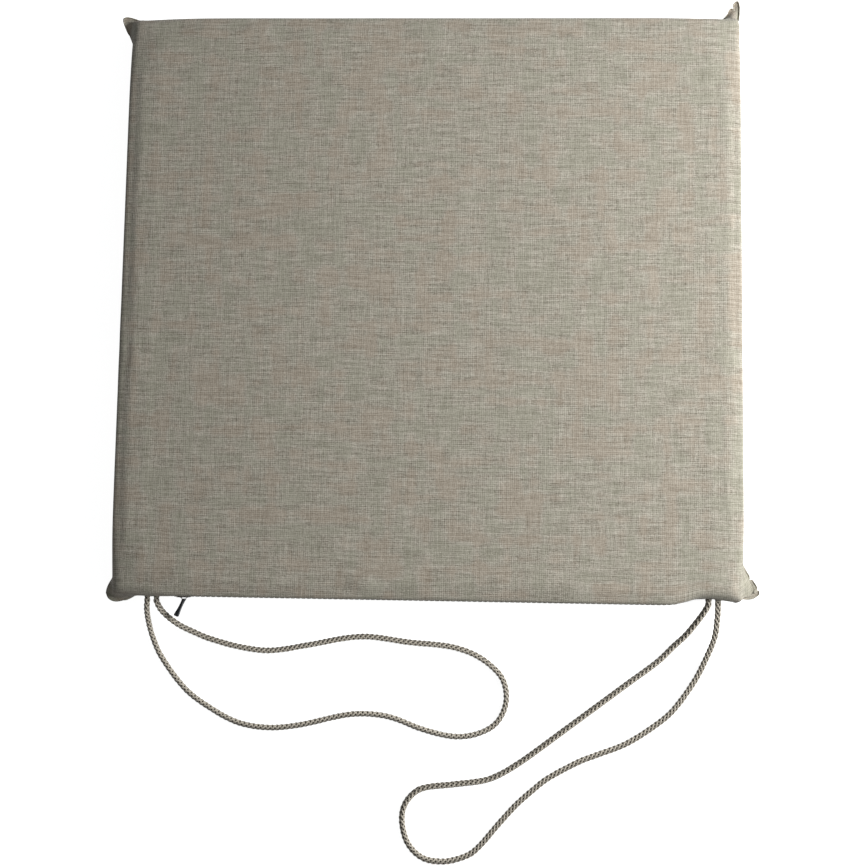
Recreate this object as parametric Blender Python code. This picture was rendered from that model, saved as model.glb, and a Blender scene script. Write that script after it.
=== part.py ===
"""Foam chair seat pad: a zipped knife-edge cover on a foam slab, with two braided cord loops to tie it on.

Frame: +Z up with the underside on z = 0, +X to the right, and the edge with the zip and the ties at -Y.
Units are metres. The object is drawn at rest: lying flat, zip closed, loops lying on the table.
"""

import math

import bmesh
import bpy
from mathutils import Vector
from mathutils.geometry import interpolate_bezier

# The cushion
PAD_WIDTH = 0.400
PAD_DEPTH = 0.380
PAD_THICKNESS = 0.025
EDGE_RADIUS = 0.004
CLEARANCE = 0.0003

# The cover, cut as two panels that meet in a seam at mid-height
CLOTH = 0.0009
ALLOWANCE_MARGIN = 0.0010
EAR_REACH = 0.0095
EAR_SPREAD = 0.019
EAR_BASE = 0.32
EAR_FALL = 1.8
EAR_CURVE = 1.9
EAR_STEPS = (0.0012, 0.004, 0.008, 0.013, 0.019)
EAR_HOLLOW = 0.7
SEAM_THREAD = 0.0005
FOAM_GROOVE_DEPTH = 0.0020
FOAM_GROOVE_MARGIN = 0.0026

# The zip, a spiral-toothed one between the two panels
ZIP_LENGTH = 0.3204
SLOT_HEIGHT = 0.0072
TAPE = 0.0006
TAPE_MARGIN = 0.0014
COIL_WIDTH = 0.0017
COIL_DEPTH = 0.0015
COIL_CHANNEL = 0.0014
STOP_LENGTH = 0.0022
STITCH_THREAD = 0.0004
STITCH_MARGIN = 0.0012

# The slider and its tab
SLIDER_LENGTH = 0.0084
SLIDER_NARROW = 0.0056
SLIDER_PLATE = 0.0008
SLIDER_LIP = 0.00055
NECK_WIDTH = 0.0008
NECK_LENGTH = 0.0022
SLIDER_GAP = 0.0003
SLIDER_MARGIN = 0.0013
BAIL_RADIUS = 0.0026
BAIL_THICKNESS = 0.0007
BAIL_WIDTH = 0.0009
BAIL_STEPS = 10
PIVOT_HEIGHT = 0.0015
PULL_LENGTH = 0.0115
PULL_WIDTH = 0.0038
PULL_THICKNESS = 0.0011
PULL_END_THICKNESS = 0.0026
PULL_EYE_LENGTH = 0.0036
PULL_EYE_WIDTH = 0.0016
PULL_PIN = 0.0008
PULL_REST_DEG = -24.0

# The ties, each a loop of braided cord with both ends sewn into the back seam
CORD_DIAMETER = 0.004
STRAND_SPACING = 0.006
LEFT_TIE_INSET = 0.0245
RIGHT_TIE_INSET = 0.0172
TAIL_HEIGHT = 0.0038
TAIL_MARGIN = 0.0031
BACKSTITCH = 0.0005
BACKSTITCH_HEIGHT = 0.0016
CORD_LEAD = 0.0034
CORD_STEP = 0.0092

# Places that follow from the sizes
SEAM_Z = PAD_THICKNESS / 2
BACK_Y = -PAD_DEPTH / 2
WALL = 2 * CLOTH
ALLOWANCE = SEAM_Z - EDGE_RADIUS - ALLOWANCE_MARGIN
TAPE_WIDTH = SEAM_Z - CLOTH - TAPE_MARGIN - COIL_CHANNEL / 2
TAIL_REACH = SEAM_Z - CLOTH - TAIL_MARGIN
TAPE_FRONT_Y = BACK_Y + WALL + CLEARANCE
TAPE_BACK_Y = TAPE_FRONT_Y + TAPE
FOAM_INSET = WALL + 2 * CLEARANCE + TAPE
FOAM_BACK_Y = BACK_Y + FOAM_INSET
COIL_BACK_Y = TAPE_FRONT_Y - CLEARANCE
LEFT_TIE_X = LEFT_TIE_INSET - PAD_WIDTH / 2
RIGHT_TIE_X = PAD_WIDTH / 2 - RIGHT_TIE_INSET
CORD_REST_Z = CORD_DIAMETER / 2 + 0.00015
EXIT_Y = BACK_Y - 0.0005
SLIDER_X = (SLIDER_LENGTH - ZIP_LENGTH) / 2 + SLIDER_MARGIN
PLATE_INNER_Y = BACK_Y - SLIDER_GAP
PLATE_OUTER_Y = PLATE_INNER_Y - SLIDER_PLATE
PULL_PIVOT = Vector((SLIDER_X, PLATE_OUTER_Y - PIVOT_HEIGHT, SEAM_Z))

# The loops as they lie, from one sewn end to the other
LEFT_ROUTE = (
    (LEFT_TIE_X - STRAND_SPACING / 2, EXIT_Y, SEAM_Z),
    (LEFT_TIE_X - STRAND_SPACING / 2, EXIT_Y - CORD_LEAD, SEAM_Z),
    (-0.179, -0.199, 0.011),
    (-0.179, -0.207, 0.0065),
    (-0.177, -0.217, 0.003),
    (-0.171, -0.230, CORD_REST_Z),
    (-0.155, -0.250, CORD_REST_Z),
    (-0.140, -0.261, CORD_REST_Z),
    (-0.120, -0.271, CORD_REST_Z),
    (-0.100, -0.274, CORD_REST_Z),
    (-0.080, -0.272, CORD_REST_Z),
    (-0.050, -0.265, CORD_REST_Z),
    (-0.035, -0.264, CORD_REST_Z),
    (-0.020, -0.266, CORD_REST_Z),
    (0.000, -0.273, CORD_REST_Z),
    (0.020, -0.277, CORD_REST_Z),
    (0.035, -0.275, CORD_REST_Z),
    (0.047, -0.268, CORD_REST_Z),
    (0.053, -0.255, CORD_REST_Z),
    (0.051, -0.241, CORD_REST_Z),
    (0.042, -0.231, CORD_REST_Z),
    (0.030, -0.224, CORD_REST_Z),
    (0.015, -0.220, CORD_REST_Z),
    (-0.010, -0.218, CORD_REST_Z),
    (-0.035, -0.215, CORD_REST_Z),
    (-0.050, -0.216, CORD_REST_Z),
    (-0.075, -0.221, CORD_REST_Z),
    (-0.100, -0.225, CORD_REST_Z),
    (-0.120, -0.223, CORD_REST_Z),
    (-0.140, -0.218, CORD_REST_Z),
    (-0.150, -0.214, 0.003),
    (-0.160, -0.209, 0.005),
    (-0.169, -0.201, 0.009),
    (LEFT_TIE_X + STRAND_SPACING / 2, EXIT_Y - CORD_LEAD, SEAM_Z),
    (LEFT_TIE_X + STRAND_SPACING / 2, EXIT_Y, SEAM_Z),
)
RIGHT_ROUTE = (
    (RIGHT_TIE_X - STRAND_SPACING / 2, EXIT_Y, SEAM_Z),
    (RIGHT_TIE_X - STRAND_SPACING / 2, EXIT_Y - CORD_LEAD, SEAM_Z),
    (0.177, -0.199, 0.0105),
    (0.170, -0.207, 0.0065),
    (0.160, -0.217, 0.003),
    (0.150, -0.227, CORD_REST_Z),
    (0.130, -0.242, CORD_REST_Z),
    (0.110, -0.257, CORD_REST_Z),
    (0.090, -0.272, CORD_REST_Z),
    (0.070, -0.287, CORD_REST_Z),
    (0.060, -0.294, CORD_REST_Z),
    (0.050, -0.300, CORD_REST_Z),
    (0.040, -0.304, CORD_REST_Z),
    (0.020, -0.307, CORD_REST_Z),
    (0.000, -0.310, CORD_REST_Z),
    (-0.008, -0.316, CORD_REST_Z),
    (-0.012, -0.324, CORD_REST_Z),
    (-0.012, -0.334, CORD_REST_Z),
    (-0.008, -0.345, CORD_REST_Z),
    (0.001, -0.353, CORD_REST_Z),
    (0.013, -0.355, CORD_REST_Z),
    (0.024, -0.353, CORD_REST_Z),
    (0.034, -0.348, CORD_REST_Z),
    (0.050, -0.330, CORD_REST_Z),
    (0.060, -0.319, CORD_REST_Z),
    (0.070, -0.310, CORD_REST_Z),
    (0.080, -0.302, CORD_REST_Z),
    (0.100, -0.291, CORD_REST_Z),
    (0.110, -0.287, CORD_REST_Z),
    (0.130, -0.279, CORD_REST_Z),
    (0.150, -0.266, CORD_REST_Z),
    (0.160, -0.257, CORD_REST_Z),
    (0.173, -0.239, CORD_REST_Z),
    (0.180, -0.225, 0.003),
    (0.185, -0.211, 0.006),
    (0.186, -0.200, 0.010),
    (RIGHT_TIE_X + STRAND_SPACING / 2, EXIT_Y - CORD_LEAD, SEAM_Z),
    (RIGHT_TIE_X + STRAND_SPACING / 2, EXIT_Y, SEAM_Z),
)


def clear_scene():
    """Removes every object that the file was opened with."""
    for existing in list(bpy.data.objects):
        bpy.data.objects.remove(existing)


def finish(name, colour, roughness, metallic=0.0):
    """A Principled material of one colour."""
    material = bpy.data.materials.new(name)
    material.use_nodes = True
    shader = material.node_tree.nodes["Principled BSDF"]
    shader.inputs["Base Color"].default_value = (*colour, 1.0)
    shader.inputs["Roughness"].default_value = roughness
    shader.inputs["Metallic"].default_value = metallic
    return material


def add_object(name, shape, material, location=(0, 0, 0), parent=None):
    """Links a mesh or curve into the scene as one named piece."""
    piece = bpy.data.objects.new(name, shape)
    bpy.context.scene.collection.objects.link(piece)
    piece.location = location
    piece.parent = parent
    if material is not None:
        shape.materials.append(material)
    return piece


def mesh_from(bm, name):
    """Closes a bmesh into a mesh with its faces pointing out and its round parts shaded smooth."""
    bmesh.ops.recalc_face_normals(bm, faces=bm.faces)
    mesh = bpy.data.meshes.new(name)
    bm.to_mesh(mesh)
    bm.free()
    mesh.shade_smooth()
    mesh.set_sharp_from_angle(angle=math.radians(40))
    return mesh


def add_box(bm, low, high):
    """Adds a box between two corners to a bmesh, and returns its vertices."""
    low, high = Vector(low), Vector(high)
    cube = bmesh.ops.create_cube(bm, size=1.0)["verts"]
    bmesh.ops.scale(bm, vec=high - low, verts=cube)
    bmesh.ops.translate(bm, vec=(low + high) / 2, verts=cube)
    return cube


def box_mesh(name, low, high):
    bm = bmesh.new()
    add_box(bm, low, high)
    return mesh_from(bm, name)


def add_bevel(piece, width, segments=2):
    """Rounds every edge of a piece with a live Bevel."""
    bevel = piece.modifiers.new("rounded_edges", "BEVEL")
    bevel.width = width
    bevel.segments = segments
    bevel.limit_method = "ANGLE"
    return bevel


def add_boolean(piece, operation, other):
    boolean = piece.modifiers.new(operation.lower() + "_" + other.name, "BOOLEAN")
    boolean.operation = operation
    boolean.object = other
    boolean.solver = "EXACT"
    return boolean


def hide_helper(helper):
    """Keeps a cutter or a joined shape out of the finished object."""
    helper.hide_render = True
    helper.display_type = "WIRE"
    return helper


def prism(bm, outline_points, along):
    """Adds a prism to a bmesh: a flat outline pushed along a vector."""
    corners = [bm.verts.new(point) for point in outline_points]
    face = bm.faces.new(corners)
    pushed = bmesh.ops.extrude_face_region(bm, geom=[face])["geom"]
    moved = [item for item in pushed if isinstance(item, bmesh.types.BMVert)]
    bmesh.ops.translate(bm, vec=along, verts=moved)


def cushion_outline(inset, ear, height):
    """The cushion's outline at one height, counter-clockwise, with its four corners drawn out by ear."""
    half = Vector((PAD_WIDTH / 2 - inset, PAD_DEPTH / 2 - inset))
    points = []
    for quarter in range(4):
        turn = quarter * math.pi / 2
        arriving = Vector((round(math.cos(turn)), round(math.sin(turn))))
        leaving = Vector((-arriving.y, arriving.x))
        corner = Vector(((arriving - leaving).x * half.x, (arriving - leaving).y * half.y))
        for distance in reversed(EAR_STEPS):
            points.append(corner - arriving * distance - leaving * ear_offset(ear, distance))
        points.append(corner + (arriving - leaving) * ear)
        for distance in EAR_STEPS:
            points.append(corner + leaving * distance + arriving * ear_offset(ear, distance))
    return [Vector((point.x, point.y, height)) for point in points]


def ear_offset(ear, distance):
    """How far the outline stands out at a distance along an edge from a drawn-out corner."""
    return EAR_BASE * ear * (1 - distance / EAR_SPREAD) ** EAR_CURVE


def ear_at(rise):
    """How far the corners stand out at a rise above or below the seam, which is nothing at a face."""
    return EAR_REACH * (1 - rise / SEAM_Z) ** EAR_FALL


def inner_ear_at(rise):
    """The hollow inside an ear, which stops short of its tip, where the cloth is sewn."""
    return ear_at(rise) * EAR_HOLLOW


def panel_rings(side):
    """Rings of a panel from its flat face to the seam and back up inside. side is +1 on top, -1 below."""
    centre_rise = SEAM_Z - EDGE_RADIUS
    inner_radius = EDGE_RADIUS - CLOTH
    quarter_steps = [step * math.pi / 8 for step in range(5)]
    rings = []
    for angle in quarter_steps:
        inset = EDGE_RADIUS * (1 - math.sin(angle))
        rings.append((inset, centre_rise + EDGE_RADIUS * math.cos(angle), ear_at))
    for share in (0.66, 0.33):
        rings.append((0.0, centre_rise * share, ear_at))
    rings.append((0.0, CLEARANCE / 2, ear_at))
    rings.append((CLOTH, CLEARANCE / 2, inner_ear_at))
    thread_room = SEAM_THREAD / 2 + CLEARANCE
    rings.append((CLOTH, thread_room, inner_ear_at))
    rings.append((WALL, thread_room, inner_ear_at))
    rings.append((WALL, ALLOWANCE, inner_ear_at))
    rings.append((CLOTH, ALLOWANCE, inner_ear_at))
    for angle in reversed(quarter_steps):
        inset = EDGE_RADIUS - inner_radius * math.sin(angle)
        rings.append((inset, centre_rise + inner_radius * math.cos(angle), inner_ear_at))
    return [cushion_outline(inset, ear(rise), SEAM_Z + side * rise) for inset, rise, ear in rings]


def lofted_mesh(name, rings):
    """A closed skin over a run of rings with the same number of points, capped at both ends."""
    bm = bmesh.new()
    loops = [[bm.verts.new(point) for point in ring] for ring in rings]
    for lower, upper in zip(loops, loops[1:]):
        for a, b, c, d in zip(lower, lower[1:] + lower[:1], upper[1:] + upper[:1], upper):
            bm.faces.new((a, b, c, d))
    for end in (loops[0], loops[-1]):
        bm.faces.new(end)
    return mesh_from(bm, name)


def back_openings():
    """The cutter for the zip's slot and the two places where a tie comes through the seam."""
    bm = bmesh.new()
    through = (BACK_Y - 3 * CLOTH, BACK_Y + WALL + CLEARANCE / 2)
    slot = (ZIP_LENGTH / 2 + STOP_LENGTH + CLEARANCE, SLOT_HEIGHT / 2)
    add_box(bm, (-slot[0], through[0], SEAM_Z - slot[1]), (slot[0], through[1], SEAM_Z + slot[1]))
    mouth = ((STRAND_SPACING + CORD_DIAMETER) / 2 + CLEARANCE, TAIL_HEIGHT / 2 + CLEARANCE)
    for tie_x in (LEFT_TIE_X, RIGHT_TIE_X):
        low = (tie_x - mouth[0], through[0], SEAM_Z - mouth[1])
        add_box(bm, low, (tie_x + mouth[0], through[1], SEAM_Z + mouth[1]))
    return hide_helper(add_object("back_openings", mesh_from(bm, "back_openings"), None))


def add_cover(cloth, openings):
    """The upper and lower panels, open to each other at the seam."""
    for name, side in (("cover_top_panel", 1), ("cover_bottom_panel", -1)):
        panel = add_object(name, lofted_mesh(name, panel_rings(side)), cloth)
        add_boolean(panel, "DIFFERENCE", openings)


def add_foam(foam):
    """The slab, drawn with the hollow that the zip and the sewn ends press into its back edge."""
    half = Vector((PAD_WIDTH / 2 - FOAM_INSET, PAD_DEPTH / 2 - FOAM_INSET))
    face = CLOTH + CLEARANCE
    low = (-half.x, -half.y, face)
    high = (half.x, half.y, PAD_THICKNESS - face)
    slab = add_object("foam_slab", box_mesh("foam_slab", low, high), foam)
    add_bevel(slab, EDGE_RADIUS - CLOTH, segments=3)
    groove_rise = SLOT_HEIGHT / 2 + FOAM_GROOVE_MARGIN
    groove_low = (-PAD_WIDTH, FOAM_BACK_Y - CLOTH, SEAM_Z - groove_rise)
    groove_high = (PAD_WIDTH, FOAM_BACK_Y + FOAM_GROOVE_DEPTH, SEAM_Z + groove_rise)
    groove = add_object("foam_groove", box_mesh("foam_groove", groove_low, groove_high), None)
    add_boolean(slab, "DIFFERENCE", hide_helper(groove))


def add_seam_thread(thread):
    """The seam's thread, along three sides and round the back corners as far as the ties."""
    inset = CLOTH * 1.5
    loop = cushion_outline(inset, inner_ear_at(SEAM_THREAD) - SEAM_THREAD, SEAM_Z)
    first_corner = len(EAR_STEPS)
    left_corner = first_corner + 3 * (2 * len(EAR_STEPS) + 1)
    clear_of_tie = (STRAND_SPACING + CORD_DIAMETER) / 2 + 2 * CLEARANCE + SEAM_THREAD
    right_end = Vector((RIGHT_TIE_X + clear_of_tie, BACK_Y + inset, SEAM_Z))
    left_end = Vector((LEFT_TIE_X - clear_of_tie, BACK_Y + inset, SEAM_Z))
    three_sides = loop[: left_corner + 1]
    bends = [right_end]
    bends += [point for point in three_sides if point.y > right_end.y + CLOTH or point.x > right_end.x]
    bends += [point for point in loop[left_corner + 1 :] if point.x < left_end.x]
    bends.append(left_end)
    add_object("seam_thread", strand(bends, SEAM_THREAD, "seam_thread", rounding=1), thread)


def strand(points, diameter, name, rounding=2):
    """A round cord or thread along points, closed at both ends, with more sides for a higher rounding."""
    curve = bpy.data.curves.new(name, "CURVE")
    curve.dimensions = "3D"
    curve.bevel_depth = diameter / 2
    curve.bevel_resolution = rounding
    curve.use_fill_caps = True
    spline = curve.splines.new("POLY")
    spline.points.add(len(points) - 1)
    for target, point in zip(spline.points, points):
        target.co = (*point, 1.0)
    return curve


def smooth_route(route, step):
    """Points at an even step along a smooth curve through a route, between its straight leads."""
    knots = [Vector(point) for point in route]
    fine = [knots[1]]
    for index in range(1, len(knots) - 2):
        start, end = knots[index], knots[index + 1]
        span = (end - start).length
        leave = start + (end - knots[index - 1]).normalized() * span / 3
        arrive = end - (knots[index + 2] - start).normalized() * span / 3
        fine += interpolate_bezier(start, leave, arrive, end, 25)[1:]
    lengths = [0.0]
    for a, b in zip(fine, fine[1:]):
        lengths.append(lengths[-1] + (b - a).length)
    count = round(lengths[-1] / step)
    even = []
    index = 0
    for mark in range(count + 1):
        wanted = lengths[-1] * mark / count
        while index < len(fine) - 2 and lengths[index + 1] < wanted:
            index += 1
        share = (wanted - lengths[index]) / (lengths[index + 1] - lengths[index])
        even.append(fine[index].lerp(fine[index + 1], min(share, 1.0)))
    return [knots[0]] + even + [knots[-1]]


def add_ties(cord, thread):
    """Each loop's free cord, its flattened ends behind the upper panel, and the stitches that hold them."""
    for side, tie_x, route in (("left", LEFT_TIE_X, LEFT_ROUTE), ("right", RIGHT_TIE_X, RIGHT_ROUTE)):
        name = "tie_cord_" + side
        add_object(name, strand(smooth_route(route, CORD_STEP), CORD_DIAMETER, name), cord)
        half = (STRAND_SPACING + CORD_DIAMETER) / 2
        mouth_y = EXIT_Y + CLEARANCE
        low_z, high_z = SEAM_Z - TAIL_HEIGHT / 2, SEAM_Z + TAIL_HEIGHT / 2
        profile = (
            (mouth_y, low_z),
            (TAPE_BACK_Y, low_z),
            (TAPE_BACK_Y, SEAM_Z + TAIL_REACH),
            (TAPE_FRONT_Y, SEAM_Z + TAIL_REACH),
            (TAPE_FRONT_Y, high_z),
            (mouth_y, high_z),
        )
        bm = bmesh.new()
        prism(bm, [(tie_x - half, y, z) for y, z in profile], Vector((2 * half, 0, 0)))
        add_object("tie_ends_" + side, mesh_from(bm, "tie_ends_" + side), cord)
        stitch_y = TAPE_BACK_Y + CLEARANCE
        low = (tie_x - half, stitch_y, SEAM_Z - BACKSTITCH_HEIGHT / 2)
        high = (tie_x + half, stitch_y + BACKSTITCH, SEAM_Z + BACKSTITCH_HEIGHT / 2)
        add_object("tie_stitches_" + side, box_mesh("tie_stitches_" + side, low, high), thread)


def add_zip(tape, nylon, metal, thread):
    """Both tapes, both rows of teeth, the end stops and the rows of stitches that hold the zip in."""
    half = ZIP_LENGTH / 2
    inner = COIL_CHANNEL / 2
    teeth_front_y = COIL_BACK_Y - COIL_DEPTH
    for name, side in (("upper", 1), ("lower", -1)):
        rows = (
            ("zip_tape_", tape, TAPE_FRONT_Y, TAPE_BACK_Y, TAPE_WIDTH, half + STOP_LENGTH),
            ("zip_teeth_", nylon, teeth_front_y, COIL_BACK_Y, COIL_WIDTH, half - CLEARANCE),
        )
        for prefix, material, front_y, back_y, width, reach in rows:
            bottom, top = sorted((SEAM_Z + side * inner, SEAM_Z + side * (inner + width)))
            mesh = box_mesh(prefix + name, (-reach, front_y, bottom), (reach, back_y, top))
            add_object(prefix + name, mesh, material)
        stitch_z = SEAM_Z + side * (SLOT_HEIGHT / 2 + STITCH_MARGIN)
        stitch_y = BACK_Y - CLEARANCE - STITCH_THREAD / 2
        ends = [Vector((end, stitch_y, stitch_z)) for end in (-half, half)]
        row = "zip_stitches_" + name
        add_object(row, strand(ends, STITCH_THREAD, row, rounding=1), thread)
    stop_height = inner + COIL_WIDTH
    for name, near, far in (("left", -half - STOP_LENGTH, -half), ("right", half, half + STOP_LENGTH)):
        low = (near, teeth_front_y, SEAM_Z - stop_height)
        high = (far, COIL_BACK_Y, SEAM_Z + stop_height)
        stop = add_object("zip_stop_" + name, box_mesh("zip_stop_" + name, low, high), metal)
        add_bevel(stop, COIL_DEPTH / 4)


def slider_plate(bm, near_y, far_y):
    """One plate of the slider: wide where its neck is, narrow where the teeth leave it closed."""
    half = SLIDER_LENGTH / 2
    wide = SLOT_HEIGHT / 2 - CLEARANCE
    narrow = SLIDER_NARROW / 2
    corner = SLIDER_LENGTH / 8
    upper = [(-half, wide - corner), (-half + corner, wide), (0, wide)]
    upper += [(half - corner, narrow), (half, narrow - corner)]
    outline = upper + [(x, -z) for x, z in reversed(upper)]
    prism(bm, [(x, near_y, z) for x, z in outline], Vector((0, far_y - near_y, 0)))


def bail_rings():
    """Square sections along the bail, a half ring whose feet are sunk in the front plate."""
    centre_y = PLATE_OUTER_Y + SLIDER_PLATE / 2
    radii = (BAIL_RADIUS, BAIL_RADIUS + BAIL_THICKNESS, BAIL_RADIUS + BAIL_THICKNESS, BAIL_RADIUS)
    heights = (-BAIL_WIDTH / 2, -BAIL_WIDTH / 2, BAIL_WIDTH / 2, BAIL_WIDTH / 2)
    rings = []
    for step in range(BAIL_STEPS + 1):
        angle = math.pi * step / BAIL_STEPS
        across, out = math.cos(angle), math.sin(angle)
        rings.append([Vector((r * across, centre_y - r * out, z)) for r, z in zip(radii, heights)])
    return rings


def add_slider(metal, carrier):
    """The slider: two plates on a neck, lips that hold the teeth in, and the bail that the tab hangs on."""
    front = bmesh.new()
    slider_plate(front, PLATE_INNER_Y, PLATE_OUTER_Y)
    slider = add_object("zip_slider", mesh_from(front, "zip_slider"), metal, parent=carrier)
    inner_plate_y = TAPE_BACK_Y + SLIDER_GAP
    back = bmesh.new()
    slider_plate(back, inner_plate_y, inner_plate_y + SLIDER_PLATE)
    joints = bmesh.new()
    sunk = SLIDER_PLATE / 2
    neck_start = -SLIDER_LENGTH / 2 + SLIDER_PLATE
    neck_low = (neck_start, PLATE_INNER_Y - sunk, -NECK_WIDTH / 2)
    add_box(joints, neck_low, (neck_start + NECK_LENGTH, inner_plate_y + sunk, NECK_WIDTH / 2))
    lip_outside = SLOT_HEIGHT / 2 - CLEARANCE - SLIDER_LIP / 10
    for side in (-1, 1):
        low_z, high_z = sorted((side * lip_outside, side * (lip_outside - SLIDER_LIP)))
        lip_low = (neck_start, PLATE_INNER_Y - sunk, low_z)
        add_box(joints, lip_low, (0, TAPE_FRONT_Y - SLIDER_GAP, high_z))
    shapes = (
        ("slider_back_plate", mesh_from(back, "slider_back_plate")),
        ("slider_neck_and_lips", mesh_from(joints, "slider_neck_and_lips")),
        ("slider_bail", lofted_mesh("slider_bail", bail_rings())),
    )
    for name, shape in shapes:
        add_boolean(slider, "UNION", hide_helper(add_object(name, shape, None, parent=carrier)))


def add_pull(metal, pivot):
    """The tab: a flat tongue that thickens towards its end, with an eye that the bail passes through."""
    stations = (
        (PULL_PIN / 2, PULL_PIN, 0.90),
        (-PULL_EYE_LENGTH, PULL_PIN, 1.00),
        (-PULL_LENGTH * 0.55, PULL_THICKNESS, 0.95),
        (-PULL_LENGTH * 0.88, PULL_END_THICKNESS * 0.8, 0.88),
        (-PULL_LENGTH, PULL_END_THICKNESS, 0.80),
    )
    rings = []
    for y, thickness, width_share in stations:
        x, z = thickness / 2, PULL_WIDTH * width_share / 2
        rings.append([Vector(corner) for corner in ((-x, y, -z), (x, y, -z), (x, y, z), (-x, y, z))])
    tab = add_object("zip_pull_tab", lofted_mesh("zip_pull_tab", rings), metal, parent=pivot)
    eye_start = -PULL_PIN / 2
    eye_low = (-PULL_END_THICKNESS, eye_start - PULL_EYE_LENGTH, -PULL_EYE_WIDTH / 2)
    eye = box_mesh("pull_eye", eye_low, (PULL_END_THICKNESS, eye_start, PULL_EYE_WIDTH / 2))
    add_boolean(tab, "DIFFERENCE", hide_helper(add_object("pull_eye", eye, None, parent=pivot)))


def add_empty(name, location, turn_degrees=0.0):
    """An empty on a joint's axis, which carries the pieces that move about it."""
    empty = add_object(name, None, None, location)
    empty.rotation_euler.z = math.radians(turn_degrees)
    return empty


def main():
    clear_scene()
    cloth = finish("linen_look_cloth", (0.38, 0.34, 0.27), 0.9)
    foam = finish("polyurethane_foam", (0.80, 0.74, 0.55), 0.95)
    thread = finish("sewing_thread", (0.36, 0.32, 0.25), 0.8)
    cord = finish("braided_cord", (0.45, 0.41, 0.33), 0.85)
    tape = finish("zip_tape", (0.30, 0.27, 0.22), 0.9)
    nylon = finish("zip_teeth", (0.26, 0.24, 0.20), 0.45)
    metal = finish("gunmetal_casting", (0.06, 0.06, 0.065), 0.4, 0.9)
    add_cover(cloth, back_openings())
    add_foam(foam)
    add_seam_thread(thread)
    add_zip(tape, nylon, metal, thread)
    add_slider(metal, add_empty("slider_carrier", (SLIDER_X, 0, SEAM_Z)))
    add_pull(metal, add_empty("pull_pivot", PULL_PIVOT, PULL_REST_DEG))
    add_ties(cord, thread)


if __name__ == "__main__":
    main()
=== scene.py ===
"""Looks for a foam chair seat pad: fitted cover, zip, braided tie cords and the studio round it."""

import logging
import math
from dataclasses import dataclass, field
from enum import Enum
from functools import cache
from typing import Callable

import bmesh
import bpy
import numpy as np
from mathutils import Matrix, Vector
from mathutils.bvhtree import BVHTree
from mathutils.geometry import interpolate_bezier
from mathutils.kdtree import KDTree


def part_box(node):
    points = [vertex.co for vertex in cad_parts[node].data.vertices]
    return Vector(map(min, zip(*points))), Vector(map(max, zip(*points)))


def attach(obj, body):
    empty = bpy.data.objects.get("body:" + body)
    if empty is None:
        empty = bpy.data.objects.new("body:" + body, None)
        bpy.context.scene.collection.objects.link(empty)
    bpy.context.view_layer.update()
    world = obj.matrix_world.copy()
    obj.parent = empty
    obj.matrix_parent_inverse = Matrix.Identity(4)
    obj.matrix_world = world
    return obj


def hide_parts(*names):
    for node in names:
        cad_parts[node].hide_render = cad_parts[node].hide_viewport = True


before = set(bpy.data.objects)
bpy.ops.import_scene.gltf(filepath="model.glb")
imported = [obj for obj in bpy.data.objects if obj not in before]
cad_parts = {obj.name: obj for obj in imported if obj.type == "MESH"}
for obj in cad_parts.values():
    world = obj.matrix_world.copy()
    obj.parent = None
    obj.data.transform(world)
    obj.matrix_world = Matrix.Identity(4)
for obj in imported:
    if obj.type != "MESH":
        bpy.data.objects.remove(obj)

LOG = logging.getLogger("seat_pad")
MM = 0.001
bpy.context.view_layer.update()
# The Wave texture's scale that gives one band for each unit of length
BAND_SCALE = 0.314


class Panel(Enum):
    """The two panels of the cover, with the way each one faces."""

    TOP = 1
    BOTTOM = -1


class Corner(Enum):
    """The four corners of the pad, with the signs of their x and y."""

    BACK_LEFT = (-1, 1)
    BACK_RIGHT = (1, 1)
    FRONT_LEFT = (-1, -1)
    FRONT_RIGHT = (1, -1)


def linear(hex_colour: str) -> tuple[float, float, float, float]:
    """Turns an sRGB hex colour into linear light.

    Args:
        hex_colour: six hex digits, red first.

    Returns:
        Linear red, green and blue, and an alpha of 1.
    """
    channels = [int(hex_colour[i : i + 2], 16) / 255 for i in (0, 2, 4)]
    light = [c / 12.92 if c <= 0.04045 else ((c + 0.055) / 1.055) ** 2.4 for c in channels]
    return (*light, 1.0)


def smoothstep(value: float) -> float:
    """Eases 0..1 with flat ends."""
    value = min(max(value, 0.0), 1.0)
    return value * value * (3 - 2 * value)


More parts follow.
